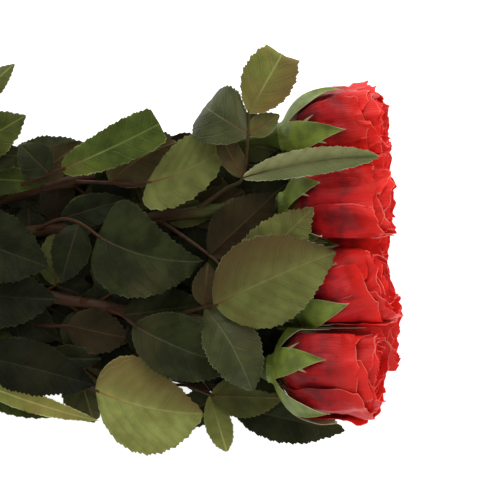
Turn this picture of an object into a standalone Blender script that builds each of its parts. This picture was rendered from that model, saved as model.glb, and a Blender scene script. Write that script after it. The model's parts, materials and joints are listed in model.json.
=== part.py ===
"""A tied bunch of seven cut roses lying on its side, heads level at +X.

Four heads (a, b, c, d) lie on top of three (e, f, g). Each rose is a bloom and a leafy stem,
and a raffia band ties the bare stems. Lengths are in millimetres and become metres when a
mesh is made. +Z is up, and the middle of the bunch's footprint lies over the origin.
"""

from dataclasses import dataclass
from math import cos, exp, pi, radians, sin

import bmesh
import bpy
from mathutils import Vector

MM = 0.001
WELD = 1e-6

# The whole bunch.
FOOTPRINT_SHIFT = Vector((-0.1, 1.3, 0.0))
CUT_END_X = -206.0
TIE_X = -112.0
GAP = 0.3

# Stems.
STEM_RADIUS = 3.3
NECK_RADIUS = 3.0
STEM_SIDES = 6
STEM_SPANS = (2, 1, 4, 3, 2)
STEM_PITCH = 7.2
BUNDLE_FLOOR = 1.3
PETIOLE_RADIUS = 1.5
PETIOLE_SIDES = 3

# Hip and sepals.
HIP_LENGTH = 12.0
HIP_STATIONS = ((0.3, 0.34), (0.65, 0.78), (1.0, 1.0))
HIP_RIM_RADIUS = 7.4
SEPAL_START = -0.05
SEPAL_WIDTH = 8.2
SEPAL_WIDEST = 0.22
SEPAL_FOOT = 0.12
SEPAL_BASE_POWER = 0.6
SEPAL_TIP_POWER = 1.3
SEPAL_LIFT = 2.0
SEPAL_THICKNESS = 0.7
SEPAL_ROWS = 3
SEPAL_CLEARANCE = 1.3

# Blooms.
PETAL_THICKNESS = 0.8
PETAL_MARGIN = 1.5
PETAL_TUCK = 0.07
TOUCHING = 6.0
CUP_STEEPNESS = 0.12
CUP_BASE_RADIUS = 6.0
CUP_BASE_FADE = 0.08
CUP_TOP_TAPER = 0.1
CORE_SIDES = 5

# Leaflets.
LEAF_THICKNESS = 0.7
LEAF_ROWS = 7
SMALL_LEAF_ROWS = 4
TOOTH = 0.075
SHEAR_REACH = 2.2
TIP_ROLL_RADIUS = 2.4
TIP_ROLL_ANGLE = 2.7

# Tie.
TIE_WIDTH = 14.0
TIE_THICKNESS = 1.0


@dataclass(frozen=True)
class Finish:
    """What a piece's surface is made of."""

    name: str
    colour: tuple
    roughness: float


PETAL_FINISH = Finish("red_petal", (0.62, 0.012, 0.018), 0.45)
LEAF_FINISH = Finish("green_leaf", (0.045, 0.085, 0.028), 0.5)
TIE_FINISH = Finish("raffia", (0.55, 0.40, 0.22), 0.7)


@dataclass(frozen=True)
class Rose:
    """One rose: where its stem passes, where its head lies, and the head's radius and length."""

    name: str
    tie: tuple
    middle: tuple
    hip: tuple
    head: tuple
    radius: float
    length: float
    turn: float
    sepals: tuple
    sepal_length: float


@dataclass(frozen=True)
class Leaflet:
    """One leaflet of a compound leaf, from a petiole point to its tip.

    Shear slides the half at u above 0 towards the base, and the tip rolls under from rolls_at of
    the length on.
    """

    at: int
    tip: tuple
    width: float
    bow: float = 4.0
    fold: float = 6.0
    roll: float = 0.0
    sway: float = 0.0
    widest: float = 0.43
    base_power: float = 0.72
    shear: float = 0.0
    rolls_at: float = 2.0
    small: bool = False


@dataclass(frozen=True)
class Spray:
    """One compound leaf: it leaves the stem at a place along X and carries leaflets."""

    rose: str
    leaves_stem_at: float
    petiole: tuple
    leaflets: tuple


HALF = STEM_PITCH / 2
LOW = BUNDLE_FLOOR + STEM_RADIUS
HIGH = LOW + STEM_PITCH * cos(radians(30))

ROSES = (
    Rose(
        "a", (3 * HALF, HIGH), (22, 38, 30), (141, 62.5, 55), (177, 67.5, 61), 20.5, 54, 10,
        (85, 148, 235, 305, 20), 37,
    ),
    Rose(
        "b", (HALF, HIGH), (22, 12, 31), (141, 24, 57), (180, 25, 62), 23, 57, 40,
        (118, 45, 190, 248, 335), 22,
    ),
    Rose(
        "c", (-HALF, HIGH), (22, -28, 36), (150, -33, 56), (184, -21, 62), 26, 49, 75,
        (130, 82, 25, 315, 200), 30,
    ),
    Rose(
        "d", (-3 * HALF, HIGH), (22, -50, 25), (135, -65, 54), (170.5, -64.5, 61), 27.5, 58, 20,
        (102, 40, 350, 290, 150), 34,
    ),
    Rose(
        "e", (2 * HALF, LOW), (22, 25, 14), (152, 44, 20), (189, 47, 24), 24, 47, 5,
        (10, 80, 320, 240, 160), 28,
    ),
    Rose(
        "f", (0.0, LOW), (22, -5, 13), (152, 2, 20), (191, 3, 24), 24, 46, 30,
        (30, 90, 164, 215, 325), 22,
    ),
    Rose(
        "g", (-2 * HALF, LOW), (22, -40, 14), (154, -43, 19.5), (192, -44, 23.5), 25, 50, 55,
        (160, 60, 200, 240, 0), 24,
    ),
)

SPRAYS = (
    # Rose c: the big leaf over the heads, with the dark leaf that hangs before stem d.
    Spray(
        "c",
        78,
        ((97, -31, 60), (103, -30, 68)),
        (
            Leaflet(2, (167.7, -1.1, 91), 49, bow=5, fold=4, sway=1),
            Leaflet(1, (99, -7, 64), 15, bow=2, small=True),
            Leaflet(1, (123, -76.5, 67), 30, bow=9, fold=-8, sway=3, widest=0.5),
        ),
    ),
    Spray(
        "c",
        40,
        ((52, -36, 51), (58, -41, 55)),
        (
            Leaflet(2, (116, -64, 60), 36, bow=4, sway=-2),
            Leaflet(1, (98, -30, 42), 24, bow=2, small=True),
        ),
    ),
    Spray(
        "c",
        -84,
        ((-60, -19, 30), (-38, -25, 38)),
        (
            Leaflet(2, (15, -27, 48), 34, bow=2),
        ),
    ),
    # Rose b: the veined leaves behind, the broad dark leaf, and the leaf that rises past head a.
    Spray(
        "b",
        70,
        ((100, -3, 58), (116, -18, 66)),
        (
            Leaflet(2, (156, 23, 84), 30, bow=3),
            Leaflet(1, (136, 31, 69), 30, bow=2, fold=-4),
            Leaflet(1, (122, -24, 52), 18, bow=1, small=True),
        ),
    ),
    Spray(
        "b",
        0,
        ((17, 17, 43), (28, 15, 50), (38.5, 8, 54)),
        (
            Leaflet(
                3, (97, -6, 61), 50, bow=4, fold=5, sway=-4.5, widest=0.25, base_power=0.35, shear=-0.12
            ),
            Leaflet(2, (18, -18, 45), 22, bow=5, fold=-10, small=True),
            Leaflet(1, (54, 28, 44), 18, bow=2, small=True),
        ),
    ),
    Spray(
        "b",
        -72,
        ((-54, 8, 34), (-42, 10, 43)),
        (
            Leaflet(2, (11, -9, 49), 40, bow=4),
            Leaflet(1, (-62, 34, 34), 24, small=True),
        ),
    ),
    Spray(
        "b",
        90,
        ((110, 34, 61), (118, 39, 69), (121, 63, 73), (121.5, 74, 75)),
        (
            Leaflet(4, (143.4, 112.4, 84.3), 28.2, bow=3, fold=5, widest=0.5, rolls_at=0.76),
            Leaflet(
                3, (96.5, 79.4, 61.6), 34, bow=10, fold=-5, sway=1, widest=0.58, base_power=0.6, rolls_at=0.88
            ),
            Leaflet(3, (138, 73, 74), 13, bow=1, small=True),
            Leaflet(2, (104, 66, 64), 13, bow=1, small=True),
            Leaflet(2, (190.5, 50, 88), 25, bow=2, fold=54, sway=2.5, widest=0.52, base_power=0.7),
        ),
    ),
    # Rose a: the leaves along the upper edge.
    Spray(
        "a",
        22,
        ((45, 37, 49), (57, 36, 54), (66, 37, 57)),
        (
            Leaflet(3, (107.7, 56, 61), 33, bow=3, sway=-3, shear=0.27, base_power=0.5),
            Leaflet(1, (82, 59, 51), 29, bow=2, sway=3),
        ),
    ),
    Spray(
        "a",
        -22,
        ((0, 38, 46), (12, 42, 55), (19, 44, 59)),
        (
            Leaflet(
                3, (72, 71, 64), 22.5, bow=3, fold=5, sway=-1, widest=0.75, base_power=0.4
            ),
            Leaflet(2, (-4, 58, 56), 20, bow=2, small=True),
            Leaflet(1, (30, 59.5, 46), 18, bow=2, small=True),
        ),
    ),
    Spray(
        "a",
        -66,
        ((-50, 40, 36), (-38, 52, 46)),
        (
            Leaflet(2, (-1, 74, 52), 25, bow=3),
            Leaflet(2, (-1, 52, 48), 20, bow=2, small=True),
            Leaflet(1, (12, 38, 42), 18, bow=2),
        ),
    ),
    # Rose d: the leaves along the lower edge.
    Spray(
        "d",
        50,
        ((75, -74, 38), (87, -75, 42), (100, -80, 44)),
        (
            Leaflet(3, (141, -82, 40), 24, bow=2),
            Leaflet(3, (109, -112, 35), 15, bow=3, fold=-8, widest=0.5, small=True),
        ),
    ),
    Spray(
        "d",
        -16,
        ((8, -60, 36), (28, -73, 47), (37, -77, 50)),
        (
            Leaflet(
                3, (96, -90, 49), 51, bow=4, fold=5, sway=-3, widest=0.4, base_power=0.6, shear=-0.14
            ),
            Leaflet(1, (40, -60, 43), 15, bow=2, small=True),
        ),
    ),
    Spray(
        "d",
        -10,
        ((7, -42, 34), (20, -42, 38)),
        (Leaflet(2, (56, -49, 42), 25, bow=2, small=True),),
    ),
    Spray(
        "d",
        -62,
        ((-44, -42, 34), (-30, -58, 44)),
        (
            Leaflet(2, (38, -74, 56), 30, bow=3, sway=1),
            Leaflet(1, (-76, -70, 28), 22, small=True),
        ),
    ),
    # Rose e: the lower leaves of the upper edge.
    Spray(
        "e",
        70,
        ((94, 52, 22), (104, 62, 25)),
        (
            Leaflet(2, (134, 70, 18), 24, bow=4, fold=-6),
            Leaflet(1, (112, 80, 16), 24, bow=3, small=True),
            Leaflet(1, (148, 44, 36), 30, bow=3, small=True),
        ),
    ),
    Spray(
        "e",
        10,
        ((34, 40, 20), (46, 47, 22)),
        (
            Leaflet(2, (90, 58, 24), 30, bow=4, fold=-6),
            Leaflet(1, (50, 60, 14), 22, bow=3, small=True),
        ),
    ),
    Spray(
        "e",
        -48,
        ((-30, 32, 17), (-18, 42, 20)),
        (
            Leaflet(2, (30, 60, 17), 26, bow=5, fold=-6),
            Leaflet(1, (-18, 66, 12), 26, bow=3, small=True),
        ),
    ),
    Spray(
        "e",
        -82,
        ((-66, 34, 14), (-48, 62, 22), (-38, 78, 28)),
        (
            Leaflet(3, (-9, 104, 32), 16, bow=4, fold=-5),
            Leaflet(2, (-72, 86, 18), 26, bow=4, small=True),
            Leaflet(2, (-14, 66, 30), 22, bow=3, small=True),
        ),
    ),
    # Rose f: the inner leaves between the two layers of stems.
    Spray(
        "f",
        72,
        ((94, 4, 24), (106, 6, 30)),
        (
            Leaflet(2, (150, 14, 40), 30, bow=2),
            Leaflet(1, (104, 34, 34), 22, bow=2, small=True),
            Leaflet(1, (118, -18, 26), 22, bow=2, small=True),
        ),
    ),
    Spray(
        "f",
        14,
        ((36, -8, 20), (48, -8, 24)),
        (
            Leaflet(2, (94, -12, 30), 32, bow=2),
            Leaflet(1, (60, 14, 24), 24, bow=2, small=True),
        ),
    ),
    Spray(
        "f",
        -52,
        ((-34, -8, 14), (-24, -10, 17)),
        (
            Leaflet(2, (22, -18, 19), 26, bow=2, fold=4),
            Leaflet(1, (-10, 10, 13), 18, bow=1, small=True),
        ),
    ),
    # Rose g: the lower leaves of the lower edge.
    Spray(
        "g",
        66,
        ((88, -64, 22), (104, -82, 28), (112, -87, 31)),
        (
            Leaflet(3, (175, -101, 27), 27, bow=3, roll=8),
            Leaflet(2, (80, -96, 20), 20, bow=3, small=True),
            Leaflet(1, (152, -52, 36), 32, bow=2, small=True),
        ),
    ),
    Spray(
        "g",
        4,
        ((24, -62, 20), (38, -74, 22)),
        (
            Leaflet(2, (82, -96, 30), 30, bow=4, fold=-5),
            Leaflet(1, (34, -98, 12), 26, bow=3, small=True),
            Leaflet(1, (64, -53, 22), 22, bow=2, small=True),
        ),
    ),
    Spray(
        "g",
        -70,
        ((-50, -44, 15), (-38, -70, 27)),
        (
            Leaflet(2, (12, -93, 36), 19, bow=3, fold=5),
            Leaflet(2, (38, -95, 35), 12, bow=5, sway=-1.5),
            Leaflet(1, (-60, -74, 14), 26, bow=3, small=True),
            Leaflet(1, (-2, -58, 19), 22, bow=2, small=True),
        ),
    ),
)

# Thorns: (rose, place along X, turn round the stem in degrees).
THORNS = (
    ("a", -82, 60), ("b", -86, 90), ("c", 30, 110), ("d", -84, 120), ("d", 80, 270),
    ("e", -72, 20), ("e", 50, 330), ("f", 60, 270), ("g", 52, 200),
)


def clear_scene():
    """Remove every object that the file opened with."""
    for obj in list(bpy.data.objects):
        bpy.data.objects.remove(obj, do_unlink=True)


def material(finish):
    """Make the finish's Principled material, once."""
    found = bpy.data.materials.get(finish.name)
    if found:
        return found
    made = bpy.data.materials.new(finish.name)
    made.use_nodes = True
    shader = made.node_tree.nodes["Principled BSDF"]
    shader.inputs["Base Color"].default_value = (*finish.colour, 1.0)
    shader.inputs["Roughness"].default_value = finish.roughness
    shader.inputs["Metallic"].default_value = 0.0
    made.diffuse_color = (*finish.colour, 1.0)
    return made


def made_object(name, bm, finish, collection):
    """Turn a bmesh in millimetres into an object with outward faces."""
    bmesh.ops.remove_doubles(bm, verts=bm.verts[:], dist=WELD / MM)
    bmesh.ops.recalc_face_normals(bm, faces=bm.faces[:])
    bmesh.ops.triangulate(bm, faces=bm.faces[:])
    bmesh.ops.translate(bm, verts=bm.verts[:], vec=FOOTPRINT_SHIFT)
    bmesh.ops.scale(bm, verts=bm.verts[:], vec=(MM, MM, MM))
    mesh = bpy.data.meshes.new(name)
    bm.to_mesh(mesh)
    bm.free()
    mesh.materials.append(material(finish))
    obj = bpy.data.objects.new(name, mesh)
    collection.objects.link(obj)
    return obj


def ring_frame(direction, up=Vector((0, 0, 1))):
    """Two unit vectors square to a direction, the second as near to up as it can be."""
    side = direction.cross(up).normalized()
    return side, side.cross(direction).normalized()


def smooth_route(points, steps):
    """Points along a curve through the given ones, with a number of steps for each span."""
    knots = [points[0] * 2 - points[1], *points, points[-1] * 2 - points[-2]]
    route = [points[0]]
    for index, count in enumerate(steps):
        p0, p1, p2, p3 = knots[index : index + 4]
        reach = (p2 - p1).length
        start = (p2 - p0).normalized() * reach
        end = (p3 - p1).normalized() * reach
        for step in range(1, count + 1):
            t = step / count
            rise = t * t * (3 - 2 * t)
            bulge = start * (t * (1 - t) ** 2) - end * (t * t * (1 - t))
            route.append(p1 * (1 - rise) + p2 * rise + bulge)
    return route


def tube(points, radii, sides):
    """A closed tube with flat ends: one ring at each point, a flat side down."""
    bm = bmesh.new()
    bmesh.ops.create_circle(bm, cap_ends=True, segments=sides, radius=1.0)
    face = bm.faces[:][0]
    for index, (point, radius) in enumerate(zip(points, radii)):
        before = points[max(index - 1, 0)]
        after = points[min(index + 1, len(points) - 1)]
        side, up = ring_frame((after - before).normalized())
        if index:
            grown = bmesh.ops.extrude_face_region(bm, geom=[face])["geom"]
            if index > 1:
                bmesh.ops.delete(bm, geom=[face], context="FACES_ONLY")
            face = next(item for item in grown if isinstance(item, bmesh.types.BMFace))
        for corner, vert in enumerate(face.verts):
            angle = 2 * pi * (corner + 0.5) / sides - pi / 2
            vert.co = point + (side * cos(angle) + up * sin(angle)) * radius
    return bm


def sheet(columns, rows, surface):
    """A thin closed blade. surface(u, v) gives its front and back points, u in -1..1, v in 0..1."""
    bm = bmesh.new()
    bmesh.ops.create_grid(bm, x_segments=columns, y_segments=rows, size=1.0)
    place = {vert: (vert.co.x, (vert.co.y + 1) / 2) for vert in bm.verts}
    bmesh.ops.triangulate(bm, faces=bm.faces[:], quad_method="FIXED")
    grown = bmesh.ops.extrude_face_region(bm, geom=bm.faces[:])["geom"]
    for vert in (item for item in grown if isinstance(item, bmesh.types.BMVert)):
        vert.co = surface(vert.co.x, (vert.co.y + 1) / 2)[1]
    for vert, (u, v) in place.items():
        vert.co = surface(u, v)[0]
    return bm


def bezier(start, middle, end, t):
    """A point and its direction on a curve of one middle control point."""
    point = start * (1 - t) ** 2 + middle * (2 * t * (1 - t)) + end * t**2
    return point, ((middle - start) * (1 - t) + (end - middle) * t).normalized()


def leaf_half_width(leaflet, v):
    """How wide the blade is at v from base to tip, as a share of its widest."""
    if not 0 < v < 1:
        return 0.0
    widest = leaflet.widest
    tip_power = leaflet.base_power * (1 - widest) / widest
    return (v / widest) ** leaflet.base_power * ((1 - v) / (1 - widest)) ** tip_power


def leaflet_surface(leaflet, base, rows):
    """The function that gives a leaflet's front and back points."""
    tip = Vector(leaflet.tip)
    chord = tip - base
    side, up = ring_frame(chord.normalized())
    turn = radians(leaflet.roll)
    normal = up * cos(turn) + side * sin(turn)
    across = side * cos(turn) - up * sin(turn)
    middle = (base + tip) / 2 + normal * (2 * leaflet.bow) - across * (2 * leaflet.sway)
    fold = radians(leaflet.fold)

    def surface(u, v):
        slid = v - leaflet.shear * u * SHEAR_REACH * v**0.5 * (1 - v)
        point, along = bezier(base, middle, tip, min(slid, leaflet.rolls_at))
        side_here = along.cross(normal).normalized()
        normal_here = side_here.cross(along).normalized()
        if slid > leaflet.rolls_at:
            past = (slid - leaflet.rolls_at) * chord.length
            bent = min(TIP_ROLL_ANGLE, past / TIP_ROLL_RADIUS)
            point = point + (along * sin(bent) - normal_here * (1 - cos(bent))) * TIP_ROLL_RADIUS
            turned = along * cos(bent) - normal_here * sin(bent)
            normal_here = normal_here * cos(bent) + along * sin(bent)
            point = point + turned * (past - bent * TIP_ROLL_RADIUS)
        row = round(v * rows)
        tooth = 1 + TOOTH * (1 if row % 2 == 0 else -1) * (0 < row < rows)
        half = leaflet.width / 2 * leaf_half_width(leaflet, v) * (tooth if abs(u) > 0.5 else 1)
        point = point + side_here * (u * half * cos(fold)) + normal_here * (abs(u) * half * sin(fold))
        return point + normal_here * (LEAF_THICKNESS / 2), point - normal_here * (LEAF_THICKNESS / 2)

    return surface


def stem_route(rose):
    """The line of a rose's stem, from its cut end to the top of its hip."""
    tie_y, tie_z = rose.tie
    hip = Vector(rose.hip)
    axis = (Vector(rose.head) - hip).normalized()
    neck = hip - axis * HIP_LENGTH
    end = Vector((CUT_END_X + 3 * abs(tie_y) / STEM_PITCH, tie_y * 1.25, tie_z))
    tie_start = Vector((TIE_X - TIE_WIDTH, tie_y, tie_z))
    tie_end = Vector((TIE_X + TIE_WIDTH, tie_y, tie_z))
    middle = Vector(rose.middle)
    bend = neck - axis * 16 + (middle - neck).normalized() * 8
    route = smooth_route([end, tie_start, tie_end, middle, bend, neck], STEM_SPANS)
    return route, neck, axis


def point_on(route, x):
    """The point of a route at a place along X."""
    for low, high in zip(route, route[1:]):
        if low.x <= x <= high.x:
            return low.lerp(high, (x - low.x) / (high.x - low.x))
    return route[-1]


def stem_pieces(rose):
    """The stem with its hip, in one tube."""
    route, neck, axis = stem_route(rose)
    last = len(route) - 1
    radii = [STEM_RADIUS + (NECK_RADIUS - STEM_RADIUS) * index / last for index in range(last + 1)]
    for share, widening in HIP_STATIONS:
        route.append(neck + axis * (HIP_LENGTH * share))
        radii.append(NECK_RADIUS + (HIP_RIM_RADIUS - NECK_RADIUS) * widening)
    return tube(route, radii, STEM_SIDES)


def bloom_radius(rose, s):
    """The bloom's outer radius at s of its length above the hip: a steep cup, then level."""
    cup = rose.radius * (1 - exp(-s / CUP_STEEPNESS)) * (1 - CUP_TOP_TAPER * s**3)
    return cup + CUP_BASE_RADIUS * exp(-s / CUP_BASE_FADE)


def bloom_frame(rose):
    """The bloom's axis and the two directions square to it."""
    axis = (Vector(rose.head) - Vector(rose.hip)).normalized()
    side, up = ring_frame(axis)
    return axis, side, up


def neighbour_planes(rose):
    """The planes between this head and each that touches it: a point and a direction away."""
    planes = []
    here = Vector(rose.head)
    for other in ROSES:
        away = Vector(other.head) - here
        away.x = 0.0
        if other.name != rose.name and away.length < rose.radius + other.radius + TOUCHING:
            share = rose.radius / (rose.radius + other.radius)
            planes.append((here + away * share, away.normalized()))
    return planes


def pressed(point, planes, margin, floor):
    """Move a point back to its own side of each neighbour's plane, and above the surface."""
    for middle, away in planes:
        past = (point - middle).dot(away) + margin
        if past > 0:
            point = point - away * past
    return Vector((point.x, point.y, max(point.z, floor)))


@dataclass(frozen=True)
class Petal:
    """One petal of a layer, with its turn round the bloom and where its tip ends."""

    name: str
    turn: float
    tip: float
    layer: "PetalLayer"


@dataclass(frozen=True)
class PetalLayer:
    """A ring of petals: sizes are shares of the bloom's radius or length, or millimetres."""

    count: int
    half_angle: float
    share: float
    root: float
    tip: float
    curl: float
    margin: float
    columns: int
    rows: int


PETAL_LAYERS = (
    PetalLayer(5, 46, 1.0, 0.03, 0.95, 2.2, 1.5, 3, 3),
    PetalLayer(3, 68, 0.74, 0.10, 1.01, 1.5, 4.8, 3, 3),
    PetalLayer(2, 84, 0.44, 0.26, 1.02, 0.5, 7.8, 3, 2),
)


def bloom_petals(rose):
    """The petals of a bloom, outermost layer first."""
    petals = []
    for number, layer in enumerate(PETAL_LAYERS):
        for index in range(layer.count):
            turn = rose.turn + number * 33 + index * 360 / layer.count
            tip = layer.tip + 0.03 * sin(radians(turn * 3 + 40 * number))
            petals.append(Petal(f"petal_{number}_{index}", turn, tip, layer))
    return petals


def petal_surface(rose, petal, planes):
    """The function that gives a petal's front and back points."""
    axis, side, up = bloom_frame(rose)
    hip = Vector(rose.hip)
    layer = petal.layer

    def surface(u, v):
        points = []
        ragged = 0.05 * cos(2 * pi * abs(u) * layer.columns / 4) - 0.09 * max(0.0, abs(u) - 0.6) / 0.4
        s = layer.root + (petal.tip + ragged * (v > 0.9) - layer.root) * v
        angle = radians(petal.turn + layer.half_angle * u * (0.6 + 0.4 * min(1.0, 3 * v) - 0.12 * v))
        share = layer.share + (0.42 - layer.share) * (1 - v) ** 5
        flare = layer.curl * max(0.0, v - 0.6) / 0.4
        for depth in (0.0, PETAL_THICKNESS):
            radius = bloom_radius(rose, s) * (share + PETAL_TUCK * u) + flare - depth
            point = hip + axis * (s * rose.length) + (side * cos(angle) + up * sin(angle)) * radius
            inside = 0.9 * (1 - u) + depth
            points.append(pressed(point, planes, layer.margin + inside, layer.margin - PETAL_MARGIN + inside))
        return points

    return surface


def bloom_core(rose, planes):
    """The close heart that the petals stand out of."""
    axis, side, up = bloom_frame(rose)
    hip = Vector(rose.hip)
    start = GAP / rose.length
    stations = ((start, 0.0), (0.1, 0.62), (0.42, 0.5), (0.75, 0.2))
    route = [hip + axis * (s * rose.length) for s, share in stations]
    radii = [HIP_RIM_RADIUS - 1.0 if not share else bloom_radius(rose, s) * share for s, share in stations]
    bm = tube(route, radii, CORE_SIDES)
    for vert in bm.verts:
        vert.co = pressed(vert.co, planes, 8.0, 8.0 - PETAL_MARGIN)
    return bm


def sepal_half_width(v):
    """How wide a sepal is at v from base to tip: broad, then drawn out to a thread."""
    if v >= 1:
        return 0.0
    tip = 1 - SEPAL_WIDEST
    foot = (v + SEPAL_FOOT) / (SEPAL_WIDEST + SEPAL_FOOT)
    return SEPAL_WIDTH * foot**SEPAL_BASE_POWER * ((1 - v) / tip) ** SEPAL_TIP_POWER


def sepal_surface(rose, turn, planes):
    """The function that gives a sepal's front and back points.

    A sepal that would lie under a low head turns back.
    """
    axis, side, up = bloom_frame(rose)
    hip = Vector(rose.hip)
    reach = rose.sepal_length / rose.length
    turns_back = rose.hip[2] < rose.radius and sin(radians(turn)) < -0.4

    def surface(u, v):
        s = SEPAL_START + (reach - SEPAL_START) * v
        half = sepal_half_width(v)
        outer = bloom_radius(rose, s) if s > 0 else HIP_RIM_RADIUS - 1.4
        outer += SEPAL_CLEARANCE + SEPAL_LIFT * v
        if turns_back:
            s = SEPAL_START - 0.3 * v
            outer = HIP_RIM_RADIUS - 0.1 + 12 * v
        points = []
        for depth in (SEPAL_THICKNESS, 0.0):
            radius = outer + depth
            angle = radians(turn) + u * half / max(outer, 8.0)
            point = hip + axis * (s * rose.length) + (side * cos(angle) + up * sin(angle)) * radius
            inner = SEPAL_THICKNESS - depth
            points.append(pressed(point, planes, GAP / 2 + inner, GAP + inner))
        return points

    return surface


def thorn(rose, x, turn):
    """A flattened thorn on the stem."""
    centre = point_on(stem_route(rose)[0], x)
    side, up = ring_frame(Vector((1, 0, 0)))
    out = side * cos(radians(turn)) + up * sin(radians(turn))
    base = centre + out * (STEM_RADIUS - 1.2)
    tip = centre + out * (STEM_RADIUS + 4.2) + Vector((-1.5, 0, 0))
    return tube([base, tip], [2.0, 0.3], 4)


def leaf_pieces(rose):
    """Each compound leaf's petiole and leaflets, with a plain name."""
    route = stem_route(rose)[0]
    pieces = []
    for number, spray in enumerate(spray for spray in SPRAYS if spray.rose == rose.name):
        points = [point_on(route, spray.leaves_stem_at), *(Vector(point) for point in spray.petiole)]
        radii = [PETIOLE_RADIUS * (1.25 - 0.25 * index / len(points)) for index in range(len(points))]
        ends = points[:-1] + [points[-1] + (points[-1] - points[-2]).normalized() * 2.5]
        pieces.append((f"petiole_{number}", tube(ends, radii, PETIOLE_SIDES)))
        for index, leaflet in enumerate(spray.leaflets):
            rows = SMALL_LEAF_ROWS if leaflet.small else LEAF_ROWS
            surface = leaflet_surface(leaflet, points[leaflet.at], rows)
            pieces.append((f"leaflet_{number}_{index}", sheet(2, rows, surface)))
    return pieces


def stem_node_pieces(rose):
    """Everything that grows on one stem, as named closed shapes."""
    planes = neighbour_planes(rose)
    pieces = [("stem", stem_pieces(rose))]
    pieces += [(f"thorn_{x}", thorn(rose, x, turn)) for name, x, turn in THORNS if name == rose.name]
    for turn in rose.sepals:
        pieces.append((f"sepal_{turn}", sheet(1, SEPAL_ROWS, sepal_surface(rose, turn, planes))))
    return pieces + leaf_pieces(rose)


def bloom_node_pieces(rose):
    """The heart and the petals of one bloom, as named closed shapes."""
    planes = neighbour_planes(rose)
    pieces = [("core", bloom_core(rose, planes))]
    for petal in bloom_petals(rose):
        layer = petal.layer
        pieces.append((petal.name, sheet(layer.columns, layer.rows, petal_surface(rose, petal, planes))))
    return pieces


def tie_pieces():
    """The band: a tube of the bundle's outline, seen along X, with its inside cut out."""
    outlines = []
    for spread in (GAP, GAP + TIE_THICKNESS):
        reach = STEM_RADIUS + spread
        corners = []
        for y, z, first, last in (
            (2 * HALF, LOW, -90, -30),
            (3 * HALF, HIGH, -30, 90),
            (-3 * HALF, HIGH, 90, 210),
            (-2 * HALF, LOW, 210, 270),
        ):
            steps = max(2, (last - first) // 30)
            for step in range(steps + 1):
                angle = radians(first + (last - first) * step / steps)
                across = Vector((0.0, cos(angle), sin(angle))) * reach
                corners.append(Vector((TIE_X - TIE_WIDTH / 2, y, z)) + across)
        outlines.append(corners)
    bm = bmesh.new()
    rings = []
    for corners in outlines:
        verts = [bm.verts.new(corner) for corner in corners]
        rings += [bm.edges.new((a, b)) for a, b in zip(verts, verts[1:] + verts[:1])]
    bmesh.ops.bridge_loops(bm, edges=rings)
    grown = bmesh.ops.extrude_face_region(bm, geom=bm.faces[:])["geom"]
    verts = [item for item in grown if isinstance(item, bmesh.types.BMVert)]
    bmesh.ops.translate(bm, verts=verts, vec=(TIE_WIDTH, 0, 0))
    return [("band", bm)]


def keep_outer_shell(mesh):
    """Keep the largest shell: a sealed hollow inside it is filled, and a loose scrap is dropped."""
    bm = bmesh.new()
    bm.from_mesh(mesh)
    waiting = set(bm.verts)
    shells = []
    while waiting:
        shell = {waiting.pop()}
        edge = list(shell)
        while edge:
            near = {link.other_vert(vert) for vert in edge for link in vert.link_edges} - shell
            shell |= near
            edge = list(near)
        waiting -= shell
        shells.append(shell)
    largest = max(shells, key=lambda shell: max(v.co.x for v in shell) - min(v.co.x for v in shell))
    spare = [vert for vert in bm.verts if vert not in largest]
    bmesh.ops.delete(bm, geom=spare, context="VERTS")
    bm.to_mesh(mesh)
    bm.free()


def joined_node(name, pieces, finish):
    """Join a node's shapes into one solid by a Boolean union, and drop the loose shapes."""
    scene = bpy.context.scene.collection
    parts = bpy.data.collections.new(f"{name}_parts")
    scene.children.link(parts)
    first = made_object(name, pieces[0][1], finish, scene)
    for piece_name, bm in pieces[1:]:
        made_object(f"{name}_{piece_name}", bm, finish, parts)
    if parts.objects:
        union = first.modifiers.new("union", "BOOLEAN")
        union.operation = "UNION"
        union.operand_type = "COLLECTION"
        union.collection = parts
        union.solver = "MANIFOLD"
        bpy.context.view_layer.update()
        graph = bpy.context.evaluated_depsgraph_get()
        mesh = bpy.data.meshes.new_from_object(first.evaluated_get(graph))
        first.modifiers.clear()
        keep_outer_shell(mesh)
        first.data = mesh
        mesh.name = name
    for obj in list(parts.objects):
        bpy.data.objects.remove(obj, do_unlink=True)
    bpy.data.collections.remove(parts)
    first.data.materials.clear()
    first.data.materials.append(material(finish))
    first.data.shade_smooth()
    first.data.set_sharp_from_angle(angle=radians(40))
    return first


def all_nodes():
    """Every node's name with the function that makes its shapes, and its finish."""
    nodes = []
    for rose in ROSES:
        nodes.append((f"rose_{rose.name}_leafy_stem", lambda rose=rose: stem_node_pieces(rose), LEAF_FINISH))
        nodes.append((f"rose_{rose.name}_bloom", lambda rose=rose: bloom_node_pieces(rose), PETAL_FINISH))
    nodes.append(("tie", tie_pieces, TIE_FINISH))
    return nodes


def build_bunch():
    """Build the whole bunch."""
    clear_scene()
    for name, pieces, finish in all_nodes():
        joined_node(name, pieces(), finish)


if __name__ == "__main__":
    build_bunch()
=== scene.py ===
"""The looks of a tied bunch of seven cut roses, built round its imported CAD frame.

Each rose gets four pieces: its bloom, its sepals, its leaves and its stem. They stand for the
plain CAD nodes and keep their places, so each route and outline here follows the CAD's own
formula in finer steps. Lengths are in millimetres in the bunch's frame. They become metres,
moved over the middle of the footprint, when a mesh is made.
"""

import json
import logging
import random
from collections.abc import Callable
from dataclasses import dataclass
from enum import Enum
from functools import partial
from math import cos, exp, pi, radians, sin, tan

import bmesh
import bpy
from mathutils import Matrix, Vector, noise

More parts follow.
